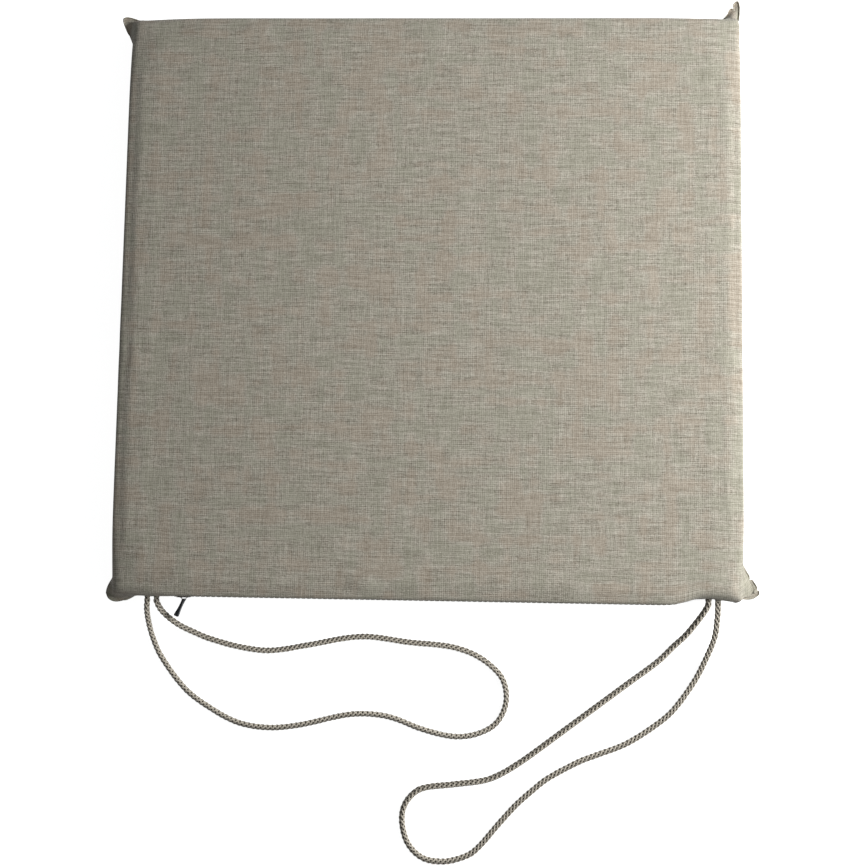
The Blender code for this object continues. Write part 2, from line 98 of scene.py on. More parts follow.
@dataclass
class NodeTree:
    """A new material and the one way nodes are added to it."""

    name: str
    material: bpy.types.Material = field(init=False)

    def __post_init__(self) -> None:
        """Makes an empty node material."""
        self.material = bpy.data.materials.new(self.name)
        self.material.use_nodes = True
        self.material.node_tree.nodes.clear()

    def add(self, kind: str, settings: dict | None = None, links: dict | None = None) -> bpy.types.Node:
        """Adds a node.

        Args:
            kind: the node's type name after "ShaderNode".
            settings: values of the node's own settings, or of its inputs by name or index.
            links: input name or index to the output that feeds it.

        Returns:
            The new node.
        """
        node = self.material.node_tree.nodes.new("ShaderNode" + kind)
        for key, value in (settings or {}).items():
            if isinstance(key, int) or (key in node.inputs and not hasattr(node, key)):
                node.inputs[key].default_value = value
            else:
                setattr(node, key, value)
        for key, source in (links or {}).items():
            self.material.node_tree.links.new(source, node.inputs[key])
        return node

    def finish(self, shader: bpy.types.Node) -> bpy.types.Material:
        """Puts the shader on the surface and returns the material."""
        self.add("OutputMaterial", links={"Surface": shader.outputs[0]})
        return self.material

    def spread(self, source: bpy.types.NodeSocket, low: float, high: float, to: tuple = (0.0, 1.0)):
        """Spreads a value's low..high band over another one.

        Args:
            source: the value.
            low: the value that becomes to[0].
            high: the value that becomes to[1].
            to: the new band.

        Returns:
            The new value's socket.
        """
        settings = {"From Min": low, "From Max": high, "To Min": to[0], "To Max": to[1]}
        return self.add("MapRange", settings, {"Value": source}).outputs[0]

    def blend(self, share, first, second, mode: str = "MIX") -> bpy.types.NodeSocket:
        """Mixes two colours.

        Args:
            share: the share of the second colour, as a number or a socket.
            first: a linear colour or a socket.
            second: a linear colour or a socket.
            mode: the mix's blend type.

        Returns:
            The mixed colour's socket.
        """
        node = self.add("Mix", {"data_type": "RGBA", "blend_type": mode})
        for index, value in ((0, share), (6, first), (7, second)):
            if isinstance(value, bpy.types.NodeSocket):
                self.material.node_tree.links.new(value, node.inputs[index])
            else:
                node.inputs[index].default_value = value
        return node.outputs[2]


@dataclass(frozen=True)
class LinenLook:
    """Slub linen-look polyester, plain woven and matt: threads of uneven thickness show as short streaks."""

    name: str = "linen_look_cloth"
    thread_mm: float = 1.25
    slub_mm: tuple[float, float] = (19.0, 1.35)
    pick_mm: tuple[float, float] = (3.4, 0.9)
    grain_mm: tuple[float, float] = (1.3, 0.8)
    patch_mm: tuple[float, float] = (46.0, 11.0)
    light: str = "D3CDBE"
    dark: str = "7D7667"
    warm: str = "B29E8A"
    cool: str = "A0A28D"
    roughness: float = 0.9

    def streaks(self, tree: NodeTree, place, size: tuple, across: bool, seed: float) -> bpy.types.NodeSocket:
        """Noise drawn out along one thread direction.

        Args:
            tree: the material's nodes.
            place: the cloth's own coordinates in millimetres.
            size: a streak's length and width in millimetres.
            across: True for the weft, which runs across the pad.
            seed: an offset that keeps the layers apart.

        Returns:
            The noise value's socket.
        """
        long, thin = 1 / size[0], 1 / size[1]
        scale = (long, thin, 1.0) if across else (thin, long, 1.0)
        moved = tree.add("Mapping", {"Scale": scale, "Location": (seed, seed * 1.7, 0)}, {"Vector": place})
        settings = {"noise_dimensions": "2D", "Scale": 1.0, "Detail": 1.5, "Roughness": 0.5}
        return tree.add("TexNoise", settings, {"Vector": moved.outputs[0]}).outputs[0]

    def threads(self, tree: NodeTree, place: bpy.types.NodeSocket, direction: str, phase: float):
        """The rounded backs of one set of threads, uneven in their spacing."""
        settings = {
            "wave_type": "BANDS",
            "bands_direction": direction,
            "wave_profile": "SIN",
            "Scale": BAND_SCALE / self.thread_mm,
            "Distortion": 3.2,
            "Detail": 2.0,
            "Detail Scale": 0.9,
            "Phase Offset": phase,
        }
        return tree.add("TexWave", settings, {"Vector": place}).outputs[1]

    def build(self) -> bpy.types.Material:
        """Returns the cloth's material, which follows the UV map "cut_mm".

        The threads are drawn about twice as coarse as real ones, as coarse as they need to show.
        """
        tree = NodeTree(self.name)
        place = tree.add("UVMap", {"uv_map": "cut_mm"}).outputs[0]
        layers = (
            (self.streaks(tree, place, self.grain_mm, True, 61.0), 0.58),
            (self.streaks(tree, place, self.pick_mm, True, 27.4), 0.52),
            (self.streaks(tree, place, self.pick_mm, False, 41.9), 0.40),
            (self.streaks(tree, place, self.slub_mm, True, 3.1), 0.80),
            (self.streaks(tree, place, self.slub_mm, False, 11.7), 0.46),
            (self.threads(tree, place, "Y", 0.0), 0.28),
            (self.threads(tree, place, "X", 1.3), 0.23),
        )
        tone = tree.add("Value").outputs[0]
        tone.default_value = 0.5 - sum(weight for _, weight in layers) / 2
        for value, weight in layers:
            tone = tree.add("Math", {"operation": "MULTIPLY_ADD", 1: weight}, {0: value, 2: tone}).outputs[0]
        weft = self.streaks(tree, place, self.patch_mm, True, 5.3)
        warp = self.streaks(tree, place, self.patch_mm, False, 19.6)
        cloud = tree.add("Math", {"operation": "ADD"}, {0: weft, 1: warp}).outputs[0]
        colour = tree.blend(tree.spread(tone, 0.0, 1.0), linear(self.dark), linear(self.light))
        colour = tree.blend(tree.spread(cloud, 1.00, 1.22, (0.0, 0.30)), colour, linear(self.warm))
        colour = tree.blend(tree.spread(cloud, 1.00, 0.78, (0.0, 0.30)), colour, linear(self.cool))
        bump = tree.add("Bump", {"Strength": 0.45, "Distance": 0.25 * MM}, {"Height": tone}).outputs[0]
        settings = {"Roughness": self.roughness, "Sheen Weight": 0.2, "Sheen Roughness": 0.6}
        settings["Specular IOR Level"] = 0.2
        shader = tree.add("BsdfPrincipled", settings, {"Base Color": colour, "Normal": bump})
        return tree.finish(shader)


@dataclass(frozen=True)
class BraidedPolyester:
    """Spun polyester braid: loose bundles of fibres, matt, with shade painted darker into the gaps between
    the strands.
    """

    name: str = "braided_polyester"
    fibre_mm: float = 0.22
    patch_mm: float = 9.0
    colour: str = "EFE8DA"
    shade: str = "B4AB9A"
    # painted shade: the colour painted into the gaps between the strands, where light does not reach
    gap: str = "3C352B"

    def build(self) -> bpy.types.Material:
        """Returns the braid's material, which paints shade into the gaps by a mask attribute of each point's
        distance from the centreline.
        """
        tree = NodeTree(self.name)
        place = tree.add("TexCoord").outputs["Object"]
        settings = {"Scale": 1 / (self.fibre_mm * MM), "Detail": 2.0, "Roughness": 0.6}
        fibres = tree.add("TexNoise", settings, {"Vector": place}).outputs[0]
        settings = {"Scale": 1 / (self.patch_mm * MM), "Detail": 1.0}
        patches = tree.add("TexNoise", settings, {"Vector": place}).outputs[0]
        colour = tree.blend(tree.spread(fibres, 0.35, 0.7), linear(self.shade), linear(self.colour))
        colour = tree.blend(tree.spread(patches, 0.3, 0.8, (0.0, 0.35)), colour, linear(self.shade))
        back = tree.add("Attribute", {"attribute_name": "gap_shade_mask"}).outputs["Fac"]
        # painted shade: darkens the colour towards the gaps, by each point's distance from the cord's
        # centreline
        colour = tree.blend(tree.spread(back, 0.30, 0.86), linear(self.gap), colour)
        bump = tree.add("Bump", {"Strength": 0.5, "Distance": 0.12 * MM}, {"Height": fibres}).outputs[0]
        settings = {"Roughness": 0.75, "Sheen Weight": 0.3, "Specular IOR Level": 0.3}
        shader = tree.add("BsdfPrincipled", settings, {"Base Color": colour, "Normal": bump})
        return tree.finish(shader)


@dataclass(frozen=True)
class SewingThread:
    """Spun polyester sewing thread, two plies twisted together: fine slanting ridges and a faint lustre."""

    name: str = "sewing_thread"
    twist_mm: float = 0.5
    colour: str = "B3A893"
    shade: str = "8F846F"

    def build(self) -> bpy.types.Material:
        """Returns the thread's material."""
        tree = NodeTree(self.name)
        place = tree.add("TexCoord").outputs["Object"]
        scale = BAND_SCALE / (self.twist_mm * MM)
        settings = {"bands_direction": "DIAGONAL", "Scale": scale, "Distortion": 1.0}
        plies = tree.add("TexWave", settings, {"Vector": place}).outputs[1]
        colour = tree.blend(tree.spread(plies, 0.0, 1.0), linear(self.shade), linear(self.colour))
        bump = tree.add("Bump", {"Strength": 0.4, "Distance": 0.08 * MM}, {"Height": plies}).outputs[0]
        shader = tree.add("BsdfPrincipled", {"Roughness": 0.6}, {"Base Color": colour, "Normal": bump})
        return tree.finish(shader)


@dataclass(frozen=True)
class WovenTape:
    """Polyester zip tape in a fine twill: close slanting ribs, matt."""

    name: str = "woven_zip_tape"
    rib_mm: float = 0.9
    colour: str = "9C917D"
    shade: str = "776D5C"

    def build(self) -> bpy.types.Material:
        """Returns the tape's material. Its ribs are drawn a little coarser than real so that they show."""
        tree = NodeTree(self.name)
        place = tree.add("TexCoord").outputs["Object"]
        turned = tree.add("Mapping", {"Rotation": (0, math.radians(60), 0)}, {"Vector": place}).outputs[0]
        scale = BAND_SCALE / (self.rib_mm * MM)
        settings = {"bands_direction": "X", "Scale": scale, "Distortion": 0.4}
        ribs = tree.add("TexWave", settings, {"Vector": turned}).outputs[1]
        colour = tree.blend(tree.spread(ribs, 0.1, 0.9), linear(self.shade), linear(self.colour))
        bump = tree.add("Bump", {"Strength": 0.5, "Distance": 0.1 * MM}, {"Height": ribs}).outputs[0]
        shader = tree.add("BsdfPrincipled", {"Roughness": 0.85}, {"Base Color": colour, "Normal": bump})
        return tree.finish(shader)


@dataclass(frozen=True)
class NylonSpiral:
    """Dyed nylon monofilament wound to a spiral: smooth, a little waxy, with soft highlights."""

    name: str = "nylon_spiral"
    colour: str = "A1967F"
    shade: str = "8D826D"
    haze_mm: float = 6.0

    def build(self) -> bpy.types.Material:
        """Returns the spiral's material."""
        tree = NodeTree(self.name)
        place = tree.add("TexCoord").outputs["Object"]
        settings = {"Scale": 1 / (self.haze_mm * MM), "Detail": 2.0}
        haze = tree.add("TexNoise", settings, {"Vector": place}).outputs[0]
        colour = tree.blend(tree.spread(haze, 0.3, 0.7), linear(self.shade), linear(self.colour))
        rough = tree.spread(haze, 0.3, 0.7, (0.32, 0.48))
        settings = {"IOR": 1.53, "Subsurface Weight": 0.08, "Subsurface Scale": 0.6 * MM}
        shader = tree.add("BsdfPrincipled", settings, {"Base Color": colour, "Roughness": rough})
        return tree.finish(shader)


@dataclass(frozen=True)
class GunmetalCasting:
    """Die-cast zinc plated to a dark nickel: tumbled smooth, faintly pitted, paler where it is handled."""

    name: str = "gunmetal_casting"
    colour: str = "4A4C50"
    worn: str = "8B8C8E"
    pit_mm: float = 0.5
    rub_mm: float = 3.0

    def build(self) -> bpy.types.Material:
        """Returns the casting's material."""
        tree = NodeTree(self.name)
        place = tree.add("TexCoord").outputs["Object"]
        settings = {"Scale": 1 / (self.pit_mm * MM), "Detail": 3.0}
        pits = tree.add("TexNoise", settings, {"Vector": place}).outputs[0]
        settings = {"Scale": 1 / (self.rub_mm * MM), "Detail": 2.0}
        rubs = tree.add("TexNoise", settings, {"Vector": place}).outputs[0]
        colour = tree.blend(tree.spread(rubs, 0.5, 0.75, (0.0, 0.6)), linear(self.colour), linear(self.worn))
        rough = tree.spread(pits, 0.3, 0.7, (0.28, 0.46))
        bump = tree.add("Bump", {"Strength": 0.25, "Distance": 0.05 * MM}, {"Height": pits}).outputs[0]
        links = {"Base Color": colour, "Roughness": rough, "Normal": bump}
        return tree.finish(tree.add("BsdfPrincipled", {"Metallic": 1.0}, links))


@dataclass(frozen=True)
class OpenCellFoam:
    """Cut polyurethane foam: a cream surface pitted with open cells."""

    name: str = "open_cell_foam"
    cell_mm: float = 0.8
    colour: str = "E8DDBF"
    pit: str = "B9A878"

    def build(self) -> bpy.types.Material:
        """Returns the foam's material."""
        tree = NodeTree(self.name)
        place = tree.add("TexCoord").outputs["Object"]
        cells = tree.add("TexVoronoi", {"Scale": 1 / (self.cell_mm * MM)}, {"Vector": place}).outputs[0]
        colour = tree.blend(tree.spread(cells, 0.15, 0.6), linear(self.pit), linear(self.colour))
        bump = tree.add("Bump", {"Strength": 0.7, "Distance": 0.3 * MM}, {"Height": cells}).outputs[0]
        shader = tree.add("BsdfPrincipled", {"Roughness": 0.95}, {"Base Color": colour, "Normal": bump})
        return tree.finish(shader)


@dataclass(frozen=True)
class PaleFloor:
    """A smooth pale studio floor that stays bright and keeps only a soft contact shadow."""

    name: str = "pale_floor"
    colour: str = "F8F8F8"
    glow: float = 0.93

    def build(self) -> bpy.types.Material:
        """Returns the floor's material, which is clear from below so that the underside can be seen."""
        tree = NodeTree(self.name)
        settings = {"Base Color": linear(self.colour), "Roughness": 0.85}
        settings["Emission Color"] = linear(self.colour)
        settings["Emission Strength"] = self.glow
        matt = tree.add("BsdfPrincipled", settings)
        clear = tree.add("BsdfTransparent")
        below = tree.add("NewGeometry").outputs["Backfacing"]
        mix = tree.add("MixShader", {}, {0: below, 1: matt.outputs[0], 2: clear.outputs[0]})
        return tree.finish(mix)


@dataclass
class Finishes:
    """One material of each finish, made once and shared by the pieces."""

    cloth: bpy.types.Material = field(default_factory=lambda: LinenLook().build())
    cord: bpy.types.Material = field(default_factory=lambda: BraidedPolyester().build())
    thread: bpy.types.Material = field(default_factory=lambda: SewingThread().build())
    zip_tape: bpy.types.Material = field(default_factory=lambda: WovenTape().build())
    zip_teeth: bpy.types.Material = field(default_factory=lambda: NylonSpiral().build())
    gunmetal: bpy.types.Material = field(default_factory=lambda: GunmetalCasting().build())
    foam: bpy.types.Material = field(default_factory=lambda: OpenCellFoam().build())


def new_object(
    name: str, mesh: bpy.types.Mesh, material: bpy.types.Material | None = None
) -> bpy.types.Object:
    """Links a mesh into the scene at the origin, with its finish."""
    piece = bpy.data.objects.new(name, mesh)
    bpy.context.scene.collection.objects.link(piece)
    if material is not None:
        mesh.materials.clear()
        mesh.materials.append(material)
    return piece


def mesh_of(bm: bmesh.types.BMesh, name: str, sharp_past: float = 180.0) -> bpy.types.Mesh:
    """Turns a bmesh into a smooth-shaded mesh with its edges sharp past an angle in degrees."""
    mesh = bpy.data.meshes.new(name)
    bm.to_mesh(mesh)
    bm.free()
    mesh.shade_smooth()
    if sharp_past < 180:
        mesh.set_sharp_from_angle(angle=math.radians(sharp_past))
    return mesh


def dress(piece: bpy.types.Object, body: str, slot: str, *nodes: str) -> bpy.types.Object:
    """Puts a finished piece on its body and hides the CAD nodes that it stands for.

    Args:
        piece: the finished piece.
        body: the CAD body that it moves with.
        slot: not used.
        nodes: the CAD nodes that it replaces, if any.

    Returns:
        The piece.
    """
    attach(piece, body)
    if nodes:
        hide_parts(*nodes)
    LOG.info("%s: %d faces on %s", piece.name, len(piece.data.polygons), body)
    return piece


def swept(name: str, lines: list[list[Vector]], radius: float, sides: int = 6) -> bpy.types.Mesh:
    """Sweeps a round section along each line, closed at its ends.

    Args:
        name: the mesh's name.
        lines: the lines, each a list of points.
        radius: the section's radius.
        sides: the section's number of sides, an even number from 4.

    Returns:
        The mesh, with all the lines in it.
    """
    curve = bpy.data.curves.new(name, "CURVE")
    curve.dimensions = "3D"
    curve.bevel_depth = radius
    curve.bevel_resolution = (sides - 4) // 2
    curve.use_fill_caps = True
    for line in lines:
        spline = curve.splines.new("POLY")
        spline.points.add(len(line) - 1)
        for target, point in zip(spline.points, line):
            target.co = (*point, 1.0)
    holder = bpy.data.objects.new(name, curve)
    bpy.context.scene.collection.objects.link(holder)
    bpy.context.view_layer.update()
    mesh = bpy.data.meshes.new_from_object(holder.evaluated_get(bpy.context.evaluated_depsgraph_get()))
    bpy.data.objects.remove(holder)
    bpy.data.curves.remove(curve)
    mesh.name = name
    mesh.shade_smooth()
    return mesh


@dataclass
class Studio:
    """The camera, a pale floor and soft light that comes mostly from the right."""

    eye: tuple[float, float, float] = (0.0289, -0.1420, 0.7202)
    turn_degrees: tuple[float, float, float] = (4.807, 1.980, 0.911)
    lens: float = 45.78
    sensor: float = 36.0
    floor_size: float = 30.0
    floor_gap: float = 0.2 * MM
    window_place: tuple[float, float, float] = (0.80, 0.10, 0.48)
    window_size: float = 0.55
    window_power: float = 11.6
    ambient: float = 0.155
    surround: str = "F8FAFC"

    def camera(self) -> None:
        """Places the camera above the front edge, tipped a little."""
        data = bpy.data.cameras.new("camera")
        data.lens = self.lens
        data.sensor_width = self.sensor
        data.dof.use_dof = False
        camera = bpy.data.objects.new("camera", data)
        camera.location = self.eye
        camera.rotation_euler = [math.radians(angle) for angle in self.turn_degrees]
        bpy.context.scene.collection.objects.link(camera)
        bpy.context.scene.camera = camera

    def floor(self) -> None:
        """Lays the floor just under the pad."""
        bm = bmesh.new()
        bmesh.ops.create_grid(bm, x_segments=1, y_segments=1, size=self.floor_size / 2)
        bmesh.ops.translate(bm, vec=(0, 0, -self.floor_gap), verts=bm.verts)
        floor = new_object("studio_floor", mesh_of(bm, "studio_floor"), PaleFloor().build())
        floor.visible_diffuse = False

    def light(self, name: str, place: tuple, size: float, power: float, colour: str) -> None:
        """Hangs a square soft light that faces the pad.

        Args:
            name: the light's name.
            place: where it hangs.
            size: the side of its square.
            power: its power in watts.
            colour: its sRGB hex colour.
        """
        data = bpy.data.lights.new(name, "AREA")
        data.size = size
        data.energy = power
        data.color = linear(colour)[:3]
        light = bpy.data.objects.new(name, data)
        light.location = place
        light.rotation_euler = (-Vector(place)).to_track_quat("-Z", "Y").to_euler()
        bpy.context.scene.collection.objects.link(light)

    def world(self) -> None:
        """Gives a low even light from all round, with a white surround behind the floor."""
        world = bpy.data.worlds.new("studio")
        world.use_nodes = True
        nodes, links = world.node_tree.nodes, world.node_tree.links
        background = nodes["Background"]
        background.inputs["Color"].default_value = linear(self.surround)
        path = nodes.new("ShaderNodeLightPath")
        strength = nodes.new("ShaderNodeMapRange")
        strength.inputs["To Min"].default_value = self.ambient
        strength.inputs["To Max"].default_value = 1.0
        links.new(path.outputs["Is Camera Ray"], strength.inputs["Value"])
        links.new(strength.outputs[0], background.inputs["Strength"])
        bpy.context.scene.world = world

    def build(self) -> None:
        """Makes the studio."""
        self.camera()
        self.floor()
        self.world()
        self.light("window", self.window_place, self.window_size, self.window_power, "FFFFFF")
        bpy.context.scene.view_settings.view_transform = "Standard"


def along(knots: tuple, step: float) -> list[Vector]:
    """Points at an even step on the smooth curve through a route, between its straight leads.

    Args:
        knots: the route's points.
        step: the distance between points.

    Returns:
        The points, with the route's first and last ones.
    """
    route = [Vector(knot) for knot in knots]
    fine = [route[1]]
    for before, start, end, after in zip(route, route[1:], route[2:], route[3:]):
        third = (end - start).length / 3
        leave = start + (end - before).normalized() * third
        arrive = end - (after - start).normalized() * third
        fine += interpolate_bezier(start, leave, arrive, end, ROUTE_POINTS)[1:]
    fine = [route[0]] + fine + [route[-1]]
    travelled = [0.0]
    for a, b in zip(fine, fine[1:]):
        travelled.append(travelled[-1] + (b - a).length)
    count = round(travelled[-1] / step)
    marks = np.linspace(0, travelled[-1], count + 1)
    columns = [np.interp(marks, travelled, [point[axis] for point in fine]) for axis in range(3)]
    return [Vector(row) for row in zip(*columns)]


class Tie(Enum):
    """The two tie loops."""

    LEFT = "left"
    RIGHT = "right"


# Points on each curved stretch of a tie's route and of an ear's outline
ROUTE_POINTS = 25
EAR_POINTS = 24
PAD_WIDTH = 0.400
PAD_DEPTH = 0.380
FRONT_Y = -PAD_DEPTH / 2
SEAM_Z = 0.0125
# The dent that the right-hand tie pulls in the front edge: it starts clear of the slider's travel
DENT_FROM = 0.158
DENT_DEEPEST = 0.172
DENT_TO = 0.206
DENT_DEPTH = 4.8 * MM
DENT_EASING = 0.55
DENT_REACH = 32 * MM
DENT_FADE = 24 * MM
# The height of a cord's middle where it lies on the floor
LYING_Z = 0.00215
# Both loops as they lie, from one sewn end to the other, in metres
TIE_ROUTES = {
    Tie.LEFT: (
        (-0.1785, -0.1905, 0.0125),
        (-0.1785, -0.1939, 0.0125),
        (-0.179, -0.199, 0.011),
        (-0.179, -0.207, 0.0065),
        (-0.177, -0.217, 0.003),
        (-0.171, -0.230, LYING_Z),
        (-0.155, -0.250, LYING_Z),
        (-0.140, -0.261, LYING_Z),
        (-0.120, -0.271, LYING_Z),
        (-0.100, -0.274, LYING_Z),
        (-0.080, -0.272, LYING_Z),
        (-0.050, -0.265, LYING_Z),
        (-0.035, -0.264, LYING_Z),
        (-0.020, -0.266, LYING_Z),
        (0.000, -0.273, LYING_Z),
        (0.020, -0.277, LYING_Z),
        (0.035, -0.275, LYING_Z),
        (0.047, -0.268, LYING_Z),
        (0.053, -0.255, LYING_Z),
        (0.051, -0.241, LYING_Z),
        (0.042, -0.231, LYING_Z),
        (0.030, -0.224, LYING_Z),
        (0.015, -0.220, LYING_Z),
        (-0.010, -0.218, LYING_Z),
        (-0.035, -0.215, LYING_Z),
        (-0.050, -0.216, LYING_Z),
        (-0.075, -0.221, LYING_Z),
        (-0.100, -0.225, LYING_Z),
        (-0.120, -0.223, LYING_Z),
        (-0.140, -0.218, LYING_Z),
        (-0.150, -0.214, 0.003),
        (-0.160, -0.209, 0.005),
        (-0.169, -0.201, 0.009),
        (-0.1725, -0.1939, 0.0125),
        (-0.1725, -0.1905, 0.0125),
    ),
    Tie.RIGHT: (
        (0.1798, -0.1905, 0.0125),
        (0.1798, -0.1939, 0.0125),
        (0.177, -0.199, 0.0105),
        (0.170, -0.207, 0.0065),
        (0.160, -0.217, 0.003),
        (0.150, -0.227, LYING_Z),
        (0.130, -0.242, LYING_Z),
        (0.110, -0.257, LYING_Z),
        (0.090, -0.272, LYING_Z),
        (0.070, -0.287, LYING_Z),
        (0.060, -0.294, LYING_Z),
        (0.050, -0.300, LYING_Z),
        (0.040, -0.304, LYING_Z),
        (0.020, -0.307, LYING_Z),
        (0.000, -0.310, LYING_Z),
        (-0.008, -0.316, LYING_Z),
        (-0.012, -0.324, LYING_Z),
        (-0.012, -0.334, LYING_Z),
        (-0.008, -0.345, LYING_Z),
        (0.001, -0.353, LYING_Z),
        (0.013, -0.355, LYING_Z),
        (0.024, -0.353, LYING_Z),
        (0.034, -0.348, LYING_Z),
        (0.050, -0.330, LYING_Z),
        (0.060, -0.319, LYING_Z),
        (0.070, -0.310, LYING_Z),
        (0.080, -0.302, LYING_Z),
        (0.100, -0.291, LYING_Z),
        (0.110, -0.287, LYING_Z),
        (0.130, -0.279, LYING_Z),
        (0.150, -0.266, LYING_Z),
        (0.160, -0.257, LYING_Z),
        (0.173, -0.239, LYING_Z),
        (0.180, -0.225, 0.003),
        (0.185, -0.211, 0.006),
        (0.186, -0.200, 0.010),
        (0.1858, -0.1939, 0.0125),
        (0.1858, -0.1905, 0.0125),
    ),
}


def mark_gap_shade(mesh: bpy.types.Mesh, line: list[Vector], near: float, far: float) -> None:
    """Marks how far each point stands out from a cord's centreline, as the mask by which the braid's
    material paints shade into the gaps.

    Args:
        mesh: the cord's mesh.
        line: the centreline.
        near: the distance marked 0.
        far: the distance marked 1.
    """
    tree = KDTree(len(line))
    for index, point in enumerate(line):
        tree.insert(point, index)
    tree.balance()
    marks = [(tree.find(vert.co)[2] - near) / (far - near) for vert in mesh.vertices]
    layer = mesh.attributes.new("gap_shade_mask", "FLOAT", "POINT")
    layer.data.foreach_set("value", np.clip(marks, 0, 1).astype(np.float32))


@dataclass
class TieLoop:
    """One tie: a loop of braided cord that lies on the table, with both ends sewn into the front seam.

    The braid has eight strands, four each way round, each passing over two and under two, on a thin core.
    """

    tie: Tie
    knots: tuple
    finishes: Finishes
    diameter: float = 4.0 * MM
    lay: float = 12.4 * MM
    strand_radius: float = 0.62 * MM
    middle_radius: float = 1.24 * MM
    weave_depth: float = 0.22 * MM
    core_radius: float = 1.0 * MM
    step: float = 0.62 * MM
    keep_every: int = 4
    tail_mm: tuple = ((0, 0, 0), (0, 2.6, 0.2), (0, 3.4, 1.6), (0, 3.5, 7.2))
    tail_radius: float = 1.1 * MM
    tack_count: int = 9
    tack_mm: tuple[float, float, float] = (2.3, 4.7, 0.9)
    tack_rise_mm: float = 0.35
    tack_radius: float = 0.2 * MM
    line: list[Vector] = field(init=False)

    def __post_init__(self) -> None:
        """Works out the loop's centreline."""
        self.line = [drawn_in(point) for point in along(self.knots, self.step)]

    def frames(self) -> list[tuple[Vector, Vector]]:
        """Two directions across the cord at each point, carried along it without twisting."""
        tangents = [(b - a).normalized() for a, b in zip(self.line, self.line[1:])]
        tangents.append(tangents[-1])
        side = Vector((1, 0, 0))
        frames = []
        for tangent in tangents:
            side = (side - tangent * side.dot(tangent)).normalized()
            frames.append((side, tangent.cross(side)))
        return frames

    def strand(self, frames: list, start: int, way: int) -> list[Vector]:
        """The middle of one strand.

        Args:
            frames: the cord's cross directions.
            start: which of the four strands going this way.
            way: 1 or -1, the way round.

        Returns:
            The strand's points.
        """
        points = []
        for index, (centre, (side, up)) in enumerate(zip(self.line, frames)):
            turn = index * self.step / self.lay
            angle = 2 * math.pi * (way * turn + start / 4)
            wave = way * math.sin(2 * math.pi * (2 * turn + start / 2) + math.pi / 4)
            radius = self.middle_radius + self.weave_depth * wave
            points.append(centre + (side * math.cos(angle) + up * math.sin(angle)) * radius)
        return points

    def build(self) -> None:
        frames = self.frames()
        lines = [self.strand(frames, start, way) for start in range(4) for way in (1, -1)]
        name = "tie_braid_" + self.tie.value
        mesh = swept(name, lines, self.strand_radius)
        thinned = self.line[:: self.keep_every] + [self.line[-1]]
        core = swept(name + "_core", [thinned], self.core_radius)
        bm = bmesh.new()
        bm.from_mesh(mesh)
        bm.from_mesh(core)
        braid = new_object(name, mesh_of(bm, name), self.finishes.cord)
        # painted shade mask: 0 at the strands' middles, in the gaps, and 1 on their backs
        mark_gap_shade(braid.data, self.line, self.middle_radius, self.middle_radius + self.strand_radius)
        dress(braid, "cushion", "cord", "tie_cord_" + self.tie.value)
        self.sewn_ends()

    def sewn_ends(self) -> None:
        """The cord's two ends inside the cover, bar-tacked to the seam allowance."""
        tails, tacks = [], []
        for exit_place in (self.line[0], self.line[-1]):
            tails.append([exit_place + Vector(point) * MM for point in self.tail_mm])
            for index in range(self.tack_count):
                across, inside, foot = self.tack_mm
                side = 1 if index % 2 else -1
                height = foot + self.tack_rise_mm * index
                tacks.append(exit_place + Vector((side * across * MM, inside * MM, height * MM)))
        name = "tie_tails_" + self.tie.value
        piece = new_object(name, swept(name, tails, self.tail_radius, 8), self.finishes.cord)
        # painted shade mask for the tails, as on the braid
        mark_gap_shade(piece.data, [point for tail in tails for point in tail], 0.0, self.tail_radius)
        dress(piece, "cushion", "cord", "tie_ends_" + self.tie.value)
        name = "tie_bar_tacks_" + self.tie.value
        rows = [tacks[: self.tack_count], tacks[self.tack_count :]]
        piece = new_object(name, swept(name, rows, self.tack_radius), self.finishes.thread)
        dress(piece, "cushion", "thread", "tie_stitches_" + self.tie.value)


def drawn_in(place: Vector) -> Vector:
    """Moves a place near the front edge in to where the right-hand tie pulls the cover and the foam."""
    deepening = smoothstep((place.x - DENT_FROM) / (DENT_DEEPEST - DENT_FROM))
    easing = DENT_EASING * smoothstep((place.x - DENT_DEEPEST) / (DENT_TO - DENT_DEEPEST))
    inside = smoothstep((place.y - FRONT_Y - DENT_REACH) / -DENT_REACH)
    outside = smoothstep((place.y - FRONT_Y + DENT_FADE) / (DENT_FADE - 2 * MM))
    amount = DENT_DEPTH * deepening * (1 - easing) * inside * outside
    return Vector((place.x, place.y + amount, place.z))


